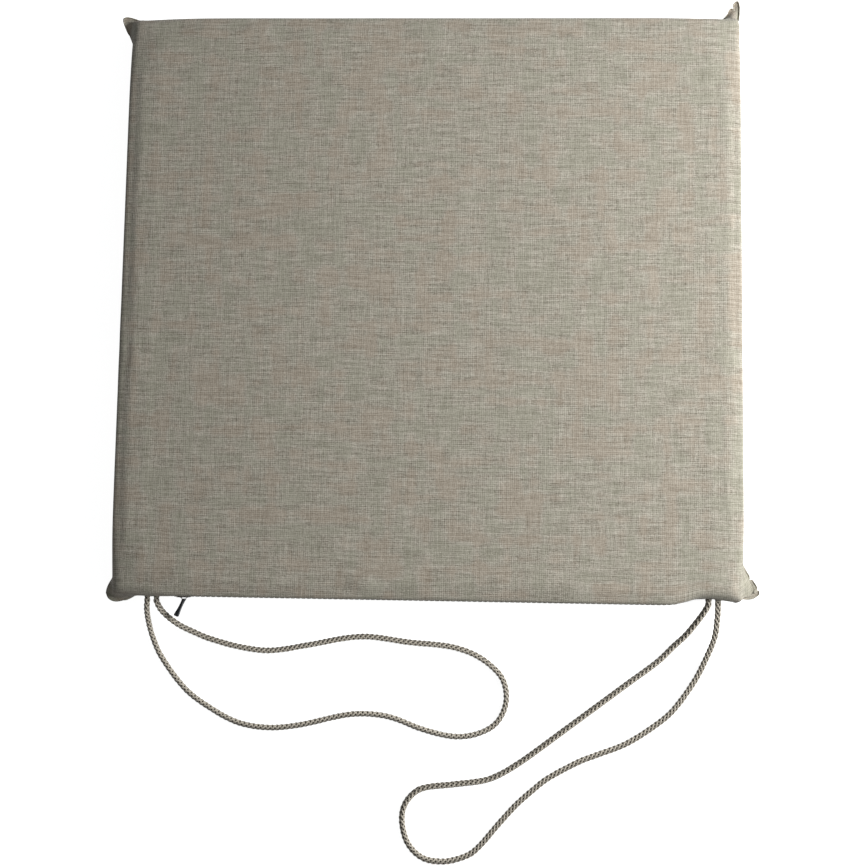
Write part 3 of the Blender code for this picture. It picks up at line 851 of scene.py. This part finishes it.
@dataclass(frozen=True)
class Ear:
    """One corner of the seam, where the spare cloth and its turned-in allowances stand out.

    Its outline is a rounded nose with a curve to each wall. Every size is in millimetres.

    Attributes:
        tip: how far the nose stands out past the slab's corner, across and deep.
        height: the nose's height.
        nose: how broad the nose is.
        nose_turn: how far the nose faces away from the diagonal, in degrees.
        side_run: how far from the corner the seam meets the side wall.
        end_run: how far from the corner the seam meets the front or back wall.
        ease: how gently the seam meets the walls, as a share of those runs.
        softness: how much wider than elsewhere the slab's edge is rounded at this corner.
    """

    tip: tuple[float, float]
    height: float
    nose: float
    nose_turn: float
    side_run: float
    end_run: float
    ease: float
    softness: float

    def reach(self, which: str, half_cut: float) -> float:
        """How far from the cut's corner the seam meets the side or the end wall again."""
        if which == "side":
            return half_cut - PAD_DEPTH / 2 + self.side_run * MM
        return half_cut - PAD_WIDTH / 2 + self.end_run * MM

    @cache
    def run(self, corner: Corner, which: str) -> np.ndarray:
        """The seam's line from the nose to the side wall or the end wall, in metres."""
        turn = math.radians(-45 + self.nose_turn)
        across_nose = Vector((math.cos(turn), math.sin(turn), 0)) * self.nose
        nose = Vector((*self.tip, self.height - SEAM_Z / MM))
        if which == "side":
            wall = Vector((0, -self.side_run, 0))
            bend = Vector((0, -self.side_run * (1 - self.ease), 0))
        else:
            across_nose = -across_nose
            wall = Vector((-self.end_run, 0, 0))
            bend = Vector((-self.end_run * (1 - self.ease), 0, 0))
        way = corner.value
        points = []
        for point in (nose, nose + across_nose, bend, wall):
            x = way[0] * (PAD_WIDTH / 2 + point.x * MM)
            y = way[1] * (PAD_DEPTH / 2 + point.y * MM)
            points.append(Vector((x, y, SEAM_Z + point.z * MM)))
        points[2] = drawn_in(points[2])
        points[3] = drawn_in(points[3])
        return np.array([point[:] for point in interpolate_bezier(*points, EAR_POINTS)])

    def seam_at(self, corner: Corner, which: str, away: float, half_cut: float, wall: Vector) -> Vector:
        """The seam's place on the ear.

        Args:
            corner: which corner it is.
            which: "side" or "end".
            away: the distance from the cut's corner along the seam.
            half_cut: half the cut in that direction.
            wall: the place on the wall, for a place past the ear.

        Returns:
            The place.
        """
        share = away / self.reach(which, half_cut)
        if share >= 1:
            return wall
        run = self.run(corner, which)
        travelled = np.concatenate([[0], np.cumsum(np.linalg.norm(np.diff(run, axis=0), axis=1))])
        mark = share * travelled[-1]
        return Vector([np.interp(mark, travelled, run[:, axis]) for axis in range(3)])


EARS = {
    Corner.BACK_LEFT: Ear(
        tip=(9.0, 3.5),
        height=14,
        nose=4,
        nose_turn=-25,
        side_run=24,
        end_run=12,
        ease=0.42,
        softness=4.0,
    ),
    Corner.BACK_RIGHT: Ear(
        tip=(0.5, 15.0),
        height=15.5,
        nose=3,
        nose_turn=15,
        side_run=20,
        end_run=16,
        ease=0.5,
        softness=2.2,
    ),
    Corner.FRONT_LEFT: Ear(
        tip=(4.2, 3.2),
        height=12,
        nose=9,
        nose_turn=0,
        side_run=16,
        end_run=18,
        ease=0.35,
        softness=5.5,
    ),
    Corner.FRONT_RIGHT: Ear(
        tip=(12.3, -6.8),
        height=12,
        nose=5.5,
        nose_turn=-10,
        side_run=34,
        end_run=14,
        ease=0.38,
        softness=7.0,
    ),
}


def corner_near(x: float, y: float) -> Corner:
    """The corner on the same side of the middle as a place, both ways."""
    return Corner((1 if x > 0 else -1, 1 if y > 0 else -1))


def draw_in(mesh: bpy.types.Mesh) -> bpy.types.Mesh:
    """Moves a mesh in with the front edge, as drawn_in does."""
    for vert in mesh.vertices:
        vert.co = drawn_in(vert.co)
    return mesh


# Stiff cloth, well damped, at ten times the real size
CLOTH_SETTINGS = {
    "quality": 7,
    "mass": 0.15,
    "tension_stiffness": 60,
    "compression_stiffness": 60,
    "shear_stiffness": 12,
    "bending_stiffness": 2.0,
    "tension_damping": 12,
    "compression_damping": 12,
    "shear_damping": 8,
    "bending_damping": 2,
    "air_damping": 4,
    "pin_stiffness": 2.0,
    "use_pressure": True,
    "uniform_pressure_force": 1.0,
}


def block(node: str) -> bmesh.types.BMesh:
    """A plain block that fills a CAD node's box."""
    low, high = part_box(node)
    bm = bmesh.new()
    bmesh.ops.create_cube(bm, size=1.0)
    bmesh.ops.scale(bm, vec=high - low, verts=bm.verts)
    bmesh.ops.translate(bm, vec=(low + high) / 2, verts=bm.verts)
    return bm


@dataclass
class Cover:
    """The knife-edge cover: two square-cut panels sewn together round a foam slab.

    Each panel is cut as wide as the slab and its thickness, so at each corner there is more cloth than the
    slab needs, and it stands out as an ear. The cloth settles from its flat cut by simulation.
    """

    width: float
    depth: float
    thickness: float
    finishes: Finishes
    edge_radius: float = 4.0 * MM
    cloth: float = 0.9 * MM
    crown: float = 1.7 * MM
    crown_width: float = 24 * MM
    soft_reach: float = 30 * MM
    lines_mm: tuple = (0, 1.8, 3.6, 5.4, 7.2, 9.0, 11.0, 13.0, 15.0, 17.2, 19.5, 22.0, 25.0, 28.0, 31.5)
    lines_far_mm: tuple = (35.5, 40.5, 46.0)
    coarse_step: float = 9.0 * MM
    slot_half: float = 162.7 * MM
    slot_rise: float = 3.6 * MM
    scale: float = 10.0
    frames: int = 30
    furthest: float = 12 * MM
    allowance: float = 1.1 * MM
    tuck_from: float = 0.8 * MM
    tuck_by: float = 0.9 * MM
    turn_within: float = 8 * MM
    seam_within: float = 0.1 * MM
    on_edge: float = 0.999
    ear_rise: float = 1.5
    wall_held: float = 9.1 * MM
    free_from: float = 3 * MM
    held_over: float = 14 * MM
    slab_inset_mm: float = 0.45
    touch: float = 0.004
    mouth_half: float = 6.5 * MM
    mouth_rise: float = 2.1 * MM
    mouth_ease: float = 2.2
    lower_cloth_mm: float = 1000.0

    @property
    def half_cut(self) -> tuple[float, float]:
        """Half the flat cut, across and deep, as sewn."""
        reach = self.thickness / 2 - self.edge_radius * (2 - math.pi / 2)
        return self.width / 2 + reach, self.depth / 2 + reach

    def grid_lines(self, half: float) -> list[float]:
        """Grid lines across a half cut: close together near the seams, wide apart in the middle."""
        outer = [half - mm * MM for mm in self.lines_mm + self.lines_far_mm]
        coarse = round(outer[-1] / self.coarse_step)
        inner = [outer[-1] * i / coarse for i in range(coarse)]
        positive = sorted(inner + outer)
        return [-x for x in reversed(positive[1:])] + positive

    def nearness(self, place: float, half_slab: float, half_cut: float) -> float:
        """How near a place in the cut is to the seam: 0 on the flat face and 1 on the seam."""
        wall = half_cut - half_slab + self.edge_radius
        return max(0.0, (abs(place) - half_slab + self.edge_radius) / wall)

    def on_seam(self, place: float, half_cut: float) -> bool:
        """Whether a place in the cut is on the seam."""
        return abs(place) > half_cut - self.seam_within

    def past_edge(self, place: float, half_slab: float) -> float:
        """How far a place in the cut lies past the start of the slab's rounded edge."""
        return abs(place) - (half_slab - self.edge_radius)

    def roundness(self, x: float, y: float) -> float:
        """The radius of the slab's edge near a place: wider at the corners, which the cover presses."""
        corner = corner_near(x, y)
        away = math.hypot(self.width / 2 - abs(x), self.depth / 2 - abs(y)) / self.soft_reach
        return self.edge_radius + EARS[corner].softness * MM * math.exp(-away * away)

    def folded(self, place: float, half_slab: float, radius: float) -> tuple[float, float]:
        """How far out and down the cloth is, at a place across the cut, folded over a rounded edge."""
        past = abs(place) - (half_slab - radius)
        arc = radius * math.pi / 2
        if past <= 0:
            sag = max(0.0, 1 + past / self.crown_width)
            return abs(place), self.crown * sag * sag
        if past < arc:
            angle = past / radius
            down = self.crown + (radius - self.crown) * (1 - math.cos(angle))
            return half_slab - radius + radius * math.sin(angle), down
        return half_slab, radius + past - arc

    def wrapped(self, u: float, v: float, panel: Panel) -> Vector:
        """Where a place in the cut lies when it is folded over the slab, with no ears.

        Args:
            u: the place across the cut.
            v: the place along the depth of the cut.
            panel: which panel it is on.

        Returns:
            The place round the slab.
        """
        radius = self.roundness(u, v)
        x, down_u = self.folded(u, self.width / 2, radius)
        y, down_v = self.folded(v, self.depth / 2, radius)
        down = min(math.hypot(down_u, down_v), max(down_u, down_v) + self.crown)
        half_u, half_v = self.half_cut
        if self.on_seam(u, half_u) or self.on_seam(v, half_v):
            down = self.thickness / 2
        rise = panel.value * max(self.thickness / 2 - down, 0.0)
        place = Vector((math.copysign(x, u), math.copysign(y, v), self.thickness / 2 + rise))
        return drawn_in(place)

    def with_ears(self, u: float, v: float, panel: Panel) -> Vector:
        """Where a place in the cut starts: wrapped round the slab, with its corners drawn out as ears."""
        half_u, half_v = self.half_cut
        base = self.wrapped(u, v, panel)
        near_u = self.nearness(u, self.width / 2, half_u)
        near_v = self.nearness(v, self.depth / 2, half_v)
        if near_u + near_v == 0:
            return base
        corner = corner_near(u, v)
        ear = EARS[corner]
        side_seam = self.wrapped(math.copysign(half_u, u), v, panel)
        end_seam = self.wrapped(u, math.copysign(half_v, v), panel)
        on_side = ear.seam_at(corner, "side", half_v - abs(v), half_v, side_seam) - side_seam
        on_end = ear.seam_at(corner, "end", half_u - abs(u), half_u, end_seam) - end_seam
        if near_u > self.on_edge:
            return base + on_side
        if near_v > self.on_edge:
            return base + on_end
        mixed = (on_side * near_u + on_end * near_v) / (near_u + near_v)
        return base + mixed * max(near_u, near_v) ** self.ear_rise

    def sewn(self, name: str, shape: Callable[[float, float, Panel], Vector]) -> bpy.types.Object:
        """Both panels joined at the seam, with the flat cut kept as an attribute.

        Args:
            name: the object's name.
            shape: gives the place of a point of the cut.

        Returns:
            The joined panels.
        """
        half_u, half_v = self.half_cut
        across, deep = self.grid_lines(half_u), self.grid_lines(half_v)
        bm = bmesh.new()
        flat = bm.verts.layers.float_vector.new("flat")
        for panel in Panel:
            grid = bmesh.ops.create_grid(bm, x_segments=len(across) - 1, y_segments=len(deep) - 1, size=1.0)
            for vert in grid["verts"]:
                column = round((vert.co.x + 1) / 2 * (len(across) - 1))
                row = round((vert.co.y + 1) / 2 * (len(deep) - 1))
                vert[flat] = (across[column], deep[row], 0)
                vert.co = shape(across[column], deep[row], panel)
            faces = list({face for vert in grid["verts"] for face in vert.link_faces})
            for face in faces:
                face.material_index = 0 if panel is Panel.TOP else 1
            if panel is Panel.BOTTOM:
                bmesh.ops.reverse_faces(bm, faces=faces)
        bmesh.ops.remove_doubles(bm, verts=bm.verts, dist=0.02 * MM)
        mesh = bpy.data.meshes.new(name)
        bm.to_mesh(mesh)
        bm.free()
        return new_object(name, mesh)

    def hold(self, u: float, v: float) -> float:
        """How firmly a place in the cut is held while the cloth settles, from 0 to 1.

        The slab fills the flat faces, the zip holds the front wall, and the seam allowances hold the ears.
        """
        half_u, half_v = self.half_cut
        ear = EARS[corner_near(u, v)]
        if self.on_seam(u, half_u) and half_v - abs(v) < ear.reach("side", half_v):
            return 1.0
        if self.on_seam(v, half_v) and half_u - abs(u) < ear.reach("end", half_u):
            return 1.0
        if abs(u) < self.slot_half + 1 * MM and v < -half_v + self.wall_held:
            return 1.0
        past = max(self.past_edge(u, self.width / 2), self.past_edge(v, self.depth / 2))
        return smoothstep((-past - self.free_from) / self.held_over)

    def settle(self, sewn: bpy.types.Object) -> None:
        """Lets the cloth settle round the slab from its flat cut, and keeps the result as the mesh."""
        mesh = sewn.data
        count = len(mesh.vertices)
        flat = np.zeros(count * 3, np.float32)
        mesh.attributes["flat"].data.foreach_get("vector", flat)
        start = np.zeros(count * 3, np.float32)
        mesh.vertices.foreach_get("co", start)
        mesh.vertices.foreach_set("co", start * self.scale)
        sewn.shape_key_add(name="start")
        rest = sewn.shape_key_add(name="cut")
        rest.data.foreach_set("co", flat * self.scale)
        group = sewn.vertex_groups.new(name="held")
        for index, (u, v, _) in enumerate(flat.reshape(-1, 3)):
            group.add([index], self.hold(u, v), "REPLACE")
        slab = self.collider()
        cloth = sewn.modifiers.new("cloth", "CLOTH")
        settings = cloth.settings
        settings.rest_shape_key = rest
        for name, value in CLOTH_SETTINGS.items():
            setattr(settings, name, value)
        settings.vertex_group_mass = group.name
        settings.effector_weights.gravity = 0.0
        cloth.collision_settings.use_collision = True
        cloth.collision_settings.distance_min = self.touch
        cloth.point_cache.frame_start = 1
        cloth.point_cache.frame_end = self.frames
        scene = bpy.context.scene
        for step in range(1, self.frames + 1):
            scene.frame_set(step)
        evaluated = sewn.evaluated_get(bpy.context.evaluated_depsgraph_get())
        settled = np.zeros(count * 3, np.float32)
        evaluated.data.vertices.foreach_get("co", settled)
        settled = settled.reshape(-1, 3) / self.scale
        start = start.reshape(-1, 3)
        scene.frame_set(1)
        bpy.data.objects.remove(slab)
        sewn.modifiers.clear()
        sewn.shape_key_clear()
        moved = settled - start
        far = np.linalg.norm(moved, axis=1)
        LOG.info("cover: cloth settled, moved %.1f mm at most", far.max() / MM)
        moved *= np.minimum(1, self.furthest / np.maximum(far, 1e-9))[:, None]
        ended = start + moved
        ended[:, 2] = np.maximum(ended[:, 2], 0.0)
        mesh.vertices.foreach_set("co", ended.astype(np.float32).ravel())
        mesh.update()

    def collider(self) -> bpy.types.Object:
        """The foam slab as the cloth feels it, pressed to the cover's own rounding."""
        slab = self.sewn("slab_collider", self.wrapped)
        bm = bmesh.new()
        bm.from_mesh(slab.data)
        bm.normal_update()
        for vert in bm.verts:
            vert.co = (vert.co - vert.normal * self.slab_inset_mm * MM) * self.scale
        bm.to_mesh(slab.data)
        bm.free()
        slab.modifiers.new("collision", "COLLISION")
        slab.collision.thickness_outer = self.touch
        slab.collision.cloth_friction = 3.0
        return slab

    def panel_mesh(self, sewn: bpy.types.Mesh, panel: Panel, mouths: list[float]) -> bpy.types.Mesh:
        """One panel of the settled cover: its zip slot opened, its edges turned in and its cloth mapped.

        Args:
            sewn: the settled cover.
            panel: which panel.
            mouths: the x places where a tie passes through the seam.

        Returns:
            The panel's mesh, still without its thickness.
        """
        half_v = self.half_cut[1]
        bm = bmesh.new()
        bm.from_mesh(sewn)
        flat = bm.verts.layers.float_vector["flat"]
        wanted = 0 if panel is Panel.TOP else 1
        gone = [face for face in bm.faces if face.material_index != wanted]
        for face in bm.faces:
            if face.material_index == wanted and self.in_slot(face, flat):
                gone.append(face)
        bmesh.ops.delete(bm, geom=gone, context="FACES")
        for vert in bm.verts:
            if vert[flat].y < 0 and self.on_seam(vert[flat].y, half_v):
                for mouth in mouths:
                    near = abs(vert.co.x - mouth) / self.mouth_half
                    if near < 1:
                        opened = smoothstep((1 - near) * self.mouth_ease)
                        vert.co.z += panel.value * self.mouth_rise * opened
        if panel is Panel.BOTTOM:
            self.tuck(bm)
        uv = bm.loops.layers.uv.new("cut_mm")
        shift = 0.0 if panel is Panel.TOP else self.lower_cloth_mm
        for face in bm.faces:
            face.material_index = 0
            for loop in face.loops:
                loop[uv].uv = (loop.vert[flat].x / MM + shift, loop.vert[flat].y / MM)
        self.turn_in(bm)
        return mesh_of(bm, "cover_" + panel.name.lower())

    def tuck(self, bm: bmesh.types.BMesh) -> None:
        """Draws the lower panel's ears in a little, so that the seam rolls under and out of sight."""
        for vert in bm.verts:
            for axis, half in enumerate((self.width / 2, self.depth / 2)):
                past = abs(vert.co[axis]) - half - self.tuck_from
                if past > 0:
                    back = self.tuck_by * (1 - math.exp(-past / self.tuck_by))
                    vert.co[axis] -= math.copysign(back, vert.co[axis])

    def in_slot(self, face: bmesh.types.BMFace, flat) -> bool:
        """Whether a face lies where the zip's slot is open."""
        centre = sum((vert[flat] for vert in face.verts), Vector()) / len(face.verts)
        return abs(centre.x) < self.slot_half and centre.y < -self.half_cut[1] + self.slot_rise

    def turn_in(self, bm: bmesh.types.BMesh) -> None:
        """Turns a panel's sewn edge in to the inside of the cover, as a narrow allowance."""
        edges = [edge for edge in bm.edges if edge.is_boundary]
        new = bmesh.ops.extrude_edge_only(bm, edges=edges)["geom"]
        turned = [item for item in new if isinstance(item, bmesh.types.BMVert)]
        within = Vector((self.width / 2 - self.turn_within, self.depth / 2 - self.turn_within))
        for vert in turned:
            x = min(max(vert.co.x, -within.x), within.x)
            y = min(max(vert.co.y, -within.y), within.y)
            inward = Vector((x, y, vert.co.z)) - vert.co
            vert.co += inward.normalized() * self.allowance

    def build(self, mouths: list[float]) -> list[bpy.types.Object]:
        """Makes both panels.

        Args:
            mouths: the x places where a tie passes through the seam.

        Returns:
            The upper and the lower panel.
        """
        sewn = self.sewn("cover_sewn", self.with_ears)
        self.settle(sewn)
        made = []
        for panel in Panel:
            name = "cover_" + panel.name.lower()
            piece = new_object(name, self.panel_mesh(sewn.data, panel, mouths), self.finishes.cloth)
            thick = piece.modifiers.new("cloth_thickness", "SOLIDIFY")
            thick.thickness = self.cloth
            thick.offset = -1.0
            rounded = piece.modifiers.new("rounded", "SUBSURF")
            rounded.levels = 1
            rounded.render_levels = 1
            dress(piece, "cushion", "cloth", name + "_panel")
            made.append(piece)
        bpy.data.objects.remove(sewn)
        return made


@dataclass
class FoamSlab:
    """The cut foam slab inside the cover, pressed round by it at the edges."""

    finishes: Finishes
    cover: Cover
    inset: float = 1.35 * MM
    groove_half: float = 6.2 * MM
    groove_depth: float = 2.4 * MM
    groove_zone: float = 8 * MM

    def build(self) -> None:
        """Makes the slab, hollowed where the zip presses into its front edge."""
        low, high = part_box("foam_slab")
        shape = self.cover.sewn("foam_shape", self.cover.wrapped)
        bm = bmesh.new()
        bm.from_mesh(shape.data)
        bpy.data.objects.remove(shape)
        bm.normal_update()
        middle = (low.z + high.z) / 2
        for vert in bm.verts:
            vert.co -= vert.normal * self.inset
        for vert in bm.verts:
            if vert.co.y < low.y + self.groove_zone and abs(vert.co.z - middle) < self.groove_half:
                edge = drawn_in(Vector((vert.co.x, low.y, middle))).y
                vert.co.y = max(vert.co.y, edge + self.groove_depth)
        for face in bm.faces:
            face.material_index = 0
        slab = new_object("foam_block", mesh_of(bm, "foam_block", 50), self.finishes.foam)
        dress(slab, "cushion", "foam", "foam_slab")


@dataclass
class Stitching:
    """The rows of lockstitch that hold the zip, and the seam's own stitches."""

    finishes: Finishes
    covers: list[bpy.types.Object]
    stitch: float = 2.9 * MM
    gap: float = 0.5 * MM
    thread_radius: float = 0.23 * MM
    arch: tuple = ((0, -0.35), (0.12, 0.75), (0.5, 1.0), (0.88, 0.75), (1, -0.35))
    outside_y: float = -0.26
    seam_half: tuple[float, float] = (0.1986, 0.1886)
    seam_short: float = 0.01

    def on_cloth(self, tree: BVHTree, x: float, z: float) -> float:
        """The y place of the front wall's cloth at a place on it."""
        hit = tree.ray_cast(Vector((x, self.outside_y, z)), Vector((0, 1, 0)))[0]
        return hit.y if hit else FRONT_Y

    def row(self, tree: BVHTree, z: float, half: float) -> list[list[Vector]]:
        """The stitches of one row, each a short arch that dips into the cloth at both ends."""
        pitch = self.stitch + self.gap
        count = int(2 * half / pitch)
        lines = []
        for index in range(count):
            start = -count * pitch / 2 + index * pitch
            arch = []
            for share, rise in self.arch:
                x = start + share * self.stitch
                y = self.on_cloth(tree, x, z) - rise * self.thread_radius
                arch.append(Vector((x, y, z)))
            lines.append(arch)
        return lines

    def build(self) -> None:
        """Makes the zip's two rows of stitches and the seam's stitches."""
        graph = bpy.context.evaluated_depsgraph_get()
        trees = [BVHTree.FromObject(cover, graph) for cover in self.covers]
        for side, tree in zip(("upper", "lower"), trees):
            low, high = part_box("zip_stitches_" + side)
            lines = self.row(tree, (low.z + high.z) / 2, high.x)
            mesh = swept("zip_lockstitch_" + side, lines, self.thread_radius)
            piece = new_object("zip_lockstitch_" + side, mesh, self.finishes.thread)
            dress(piece, "cushion", "thread", "zip_stitches_" + side)
        self.seam()

    def seam(self) -> None:
        """The seam's stitches, just inside it, each a short straight run along it between the two
        allowances.
        """
        low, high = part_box("seam_thread")
        middle = (low.z + high.z) / 2
        half = Vector(self.seam_half)
        short = self.seam_short
        lines = []
        runs = (
            (Vector((-half.x, -half.y + short)), Vector((-half.x, half.y - short))),
            (Vector((-half.x + short, half.y)), Vector((half.x - short, half.y))),
            (Vector((half.x, half.y - short)), Vector((half.x, -half.y + short))),
        )
        for start, end in runs:
            count = int((end - start).length / (self.stitch + self.gap))
            step = (end - start) / count
            for index in range(count):
                a = start + step * index
                b = a + step * self.stitch / (self.stitch + self.gap)
                lines.append([Vector((*a, middle)), Vector((*b, middle))])
        mesh = swept("seam_lockstitch", lines, self.thread_radius)
        piece = new_object("seam_lockstitch", mesh, self.finishes.thread)
        dress(piece, "cushion", "thread", "seam_thread")


@dataclass
class Zip:
    """The spiral zip in the front edge: tapes, teeth and stops, while ZipPull makes its slider and pull tab.
    """

    finishes: Finishes
    pitch: float = 1.45 * MM
    wire_radius: float = 0.3 * MM
    wire_overlap: float = 0.12 * MM
    per_turn: int = 8
    long_edge: float = 0.1
    tape_edge: float = 0.2 * MM
    stop_edge: float = 0.45 * MM
    bends_mm: tuple = (150, 153, 156, 159)

    def tape(self, side: str) -> None:
        """One woven tape with a rounded selvedge."""
        bm = block("zip_tape_" + side)
        lengthwise = [e for e in bm.edges if abs(e.verts[0].co.x - e.verts[1].co.x) > self.long_edge]
        bmesh.ops.bevel(
            bm, geom=lengthwise, offset=self.tape_edge, segments=2, profile=0.5, affect="EDGES", material=-1
        )
        for place in self.bends_mm:
            geometry = bm.verts[:] + bm.edges[:] + bm.faces[:]
            bmesh.ops.bisect_plane(bm, geom=geometry, plane_co=(place * MM, 0, 0), plane_no=(1, 0, 0))
        name = "woven_tape_" + side
        piece = new_object(name, draw_in(mesh_of(bm, name, 40)), self.finishes.zip_tape)
        dress(piece, "cushion", "zip_tape", "zip_tape_" + side)

    def teeth(self, side: str) -> None:
        """One row of teeth: a flattened spiral of monofilament."""
        low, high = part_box("zip_teeth_" + side)
        centre = (low + high) / 2
        half_y = (high.y - low.y) / 2 - self.wire_radius
        half_z = (high.z - low.z) / 2 - self.wire_radius + self.wire_overlap
        phase = 0.0 if side == "upper" else 0.5
        count = int((high.x - low.x - 2 * self.wire_radius) / self.pitch * self.per_turn)
        line = []
        for index in range(count + 1):
            angle = 2 * math.pi * (index / self.per_turn + phase)
            x = low.x + self.wire_radius + index / self.per_turn * self.pitch
            y = centre.y + half_y * math.cos(angle)
            line.append(Vector((x, y, centre.z + half_z * math.sin(angle))))
        mesh = draw_in(swept("spiral_teeth_" + side, [line], self.wire_radius))
        piece = new_object("spiral_teeth_" + side, mesh, self.finishes.zip_teeth)
        dress(piece, "cushion", "zip_teeth", "zip_teeth_" + side)

    def stop(self, end: str) -> None:
        """One end stop: a staple of plated zinc crimped across both rows of teeth."""
        bm = block("zip_stop_" + end)
        bmesh.ops.bevel(
            bm, geom=bm.edges, offset=self.stop_edge, segments=3, profile=0.5, affect="EDGES", material=-1
        )
        name = "crimped_stop_" + end
        piece = new_object(name, draw_in(mesh_of(bm, name)), self.finishes.gunmetal)
        dress(piece, "cushion", "gunmetal", "zip_stop_" + end)

    def build(self) -> None:
        """Makes the zip, apart from its slider and tab."""
        for side in ("upper", "lower"):
            self.tape(side)
            self.teeth(side)
        for end in ("left", "right"):
            self.stop(end)


@dataclass
class ZipPull:
    """The cast slider and its tab: a fork round the slider's bail, and a grip that thickens to its end.

    The grip's stations are its distance from the pin, half its thickness and half its width, in millimetres.
    The prongs' points are the distance from the pin and the height, in millimetres.
    """

    finishes: Finishes
    rest_degrees: float = -24.0
    pin_above: float = 1.5 * MM
    pin_radius: float = 0.55 * MM
    prong_radius: float = 0.86 * MM
    bail_share: float = 0.5
    bail_reach: float = 2.9 * MM
    pin_half_mm: float = 1.6
    prong_mm: tuple = ((-0.2, 1.62), (0.6, 1.6), (2.0, 1.42), (3.6, 1.05))
    casting_edge: float = 0.14 * MM
    edge_degrees: float = 35
    stations_mm: tuple = (
        (2.5, 0.60, 1.15), (2.8, 0.88, 1.55), (3.4, 1.02, 1.72), (4.8, 1.02, 1.66), (6.6, 1.12, 1.68),
        (8.4, 1.32, 1.76), (10.0, 1.54, 1.86), (11.0, 1.62, 1.90), (11.4, 1.50, 1.80), (11.6, 1.15, 1.45),
    )
    around: int = 24

    def place(self, along: float, aside: float, up: float) -> Vector:
        """A place on the tab, given from its pin along the tab, across its thickness and up."""
        low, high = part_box("zip_slider")
        pin = Vector(((low.x + high.x) / 2, 0, (low.z + high.z) / 2))
        pin.y = self.outer_y() - self.pin_above
        turn = math.radians(self.rest_degrees)
        out = Vector((math.sin(turn), -math.cos(turn), 0))
        side = Vector((math.cos(turn), math.sin(turn), 0))
        return pin + out * along + side * aside + Vector((0, 0, up))

    def outer_y(self) -> float:
        """The outer face of the slider's front plate: the bail's arch stands out from it."""
        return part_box("zip_slider")[0].y + self.bail_reach

    def fork(self, bm: bmesh.types.BMesh) -> None:
        """Adds the pin under the bail and the two prongs that carry it."""
        pin = [self.place(0, 0, up * MM) for up in (-self.pin_half_mm, self.pin_half_mm)]
        prongs = []
        for side in (-1, 1):
            prongs.append([self.place(along * MM, 0, side * up * MM) for along, up in self.prong_mm])
        bm.from_mesh(swept("fork_pin", [pin], self.pin_radius, 12))
        bm.from_mesh(swept("fork_prongs", prongs, self.prong_radius, 12))

    def grip(self, bm: bmesh.types.BMesh) -> None:
        """Adds the grip: rings of a rounded oblong, from the fork to the blunt end."""
        rings = []
        for along, thick, wide in self.stations_mm:
            ring = []
            for index in range(self.around):
                angle = 2 * math.pi * index / self.around
                across, up = math.cos(angle), math.sin(angle)
                aside = math.copysign(abs(across) ** 0.5, across) * thick
                height = math.copysign(abs(up) ** 0.5, up) * wide
                ring.append(bm.verts.new(self.place(along * MM, aside * MM, height * MM)))
            rings.append(ring)
        for near, far in zip(rings, rings[1:]):
            for index in range(self.around):
                after = (index + 1) % self.around
                bm.faces.new((near[index], near[after], far[after], far[index]))
        bm.faces.new(rings[0])
        bm.faces.new(rings[-1])
        bmesh.ops.recalc_face_normals(bm, faces=bm.faces)

    def slider(self, node: bpy.types.Object) -> None:
        """The slider's casting, with a closer bail and the rounded edges that tumbling leaves."""
        bm = bmesh.new()
        bm.from_mesh(node.data)
        bm.transform(node.matrix_world)
        bmesh.ops.remove_doubles(bm, verts=bm.verts, dist=0.001 * MM)
        low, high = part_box("zip_slider")
        for vert in bm.verts:
            if vert.co.y < self.outer_y() - 0.02 * MM:
                centre = (low.x + high.x) / 2
                vert.co.x = centre + (vert.co.x - centre) * self.bail_share
        bmesh.ops.dissolve_limit(bm, angle_limit=math.radians(3), verts=bm.verts, edges=bm.edges)
        least = math.radians(self.edge_degrees)
        sharp = [e for e in bm.edges if len(e.link_faces) == 2 and e.calc_face_angle(0.0) > least]
        bmesh.ops.bevel(
            bm,
            geom=sharp,
            offset=self.casting_edge,
            segments=2,
            profile=0.5,
            affect="EDGES",
            clamp_overlap=True,
            material=-1,
        )
        piece = new_object("slider_casting", mesh_of(bm, "slider_casting", 50), self.finishes.gunmetal)
        dress(piece, "slider", "gunmetal", "zip_slider")

    def build(self, node: bpy.types.Object) -> None:
        """Makes the slider from its CAD node, and the tab."""
        self.slider(node)
        bm = bmesh.new()
        self.grip(bm)
        self.fork(bm)
        tab = new_object("pull_tab_casting", mesh_of(bm, "pull_tab_casting", 60), self.finishes.gunmetal)
        dress(tab, "pull_tab", "gunmetal", "zip_pull_tab")


def main() -> None:
    """Builds the studio and the seat pad, sub-assembly by sub-assembly."""
    logging.basicConfig(level=logging.INFO, format="%(name)s: %(message)s")
    finishes = Finishes()
    Studio().build()
    for tie, knots in TIE_ROUTES.items():
        TieLoop(tie, knots, finishes).build()
    mouths = [sum(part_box("tie_ends_" + tie.value), Vector()).x / 2 for tie in Tie]
    cover = Cover(PAD_WIDTH, PAD_DEPTH, 2 * SEAM_Z, finishes)
    panels = cover.build(mouths)
    FoamSlab(finishes, cover).build()
    Stitching(finishes, panels).build()
    Zip(finishes).build()
    ZipPull(finishes).build(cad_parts["zip_slider"])


if __name__ == "__main__":
    main()
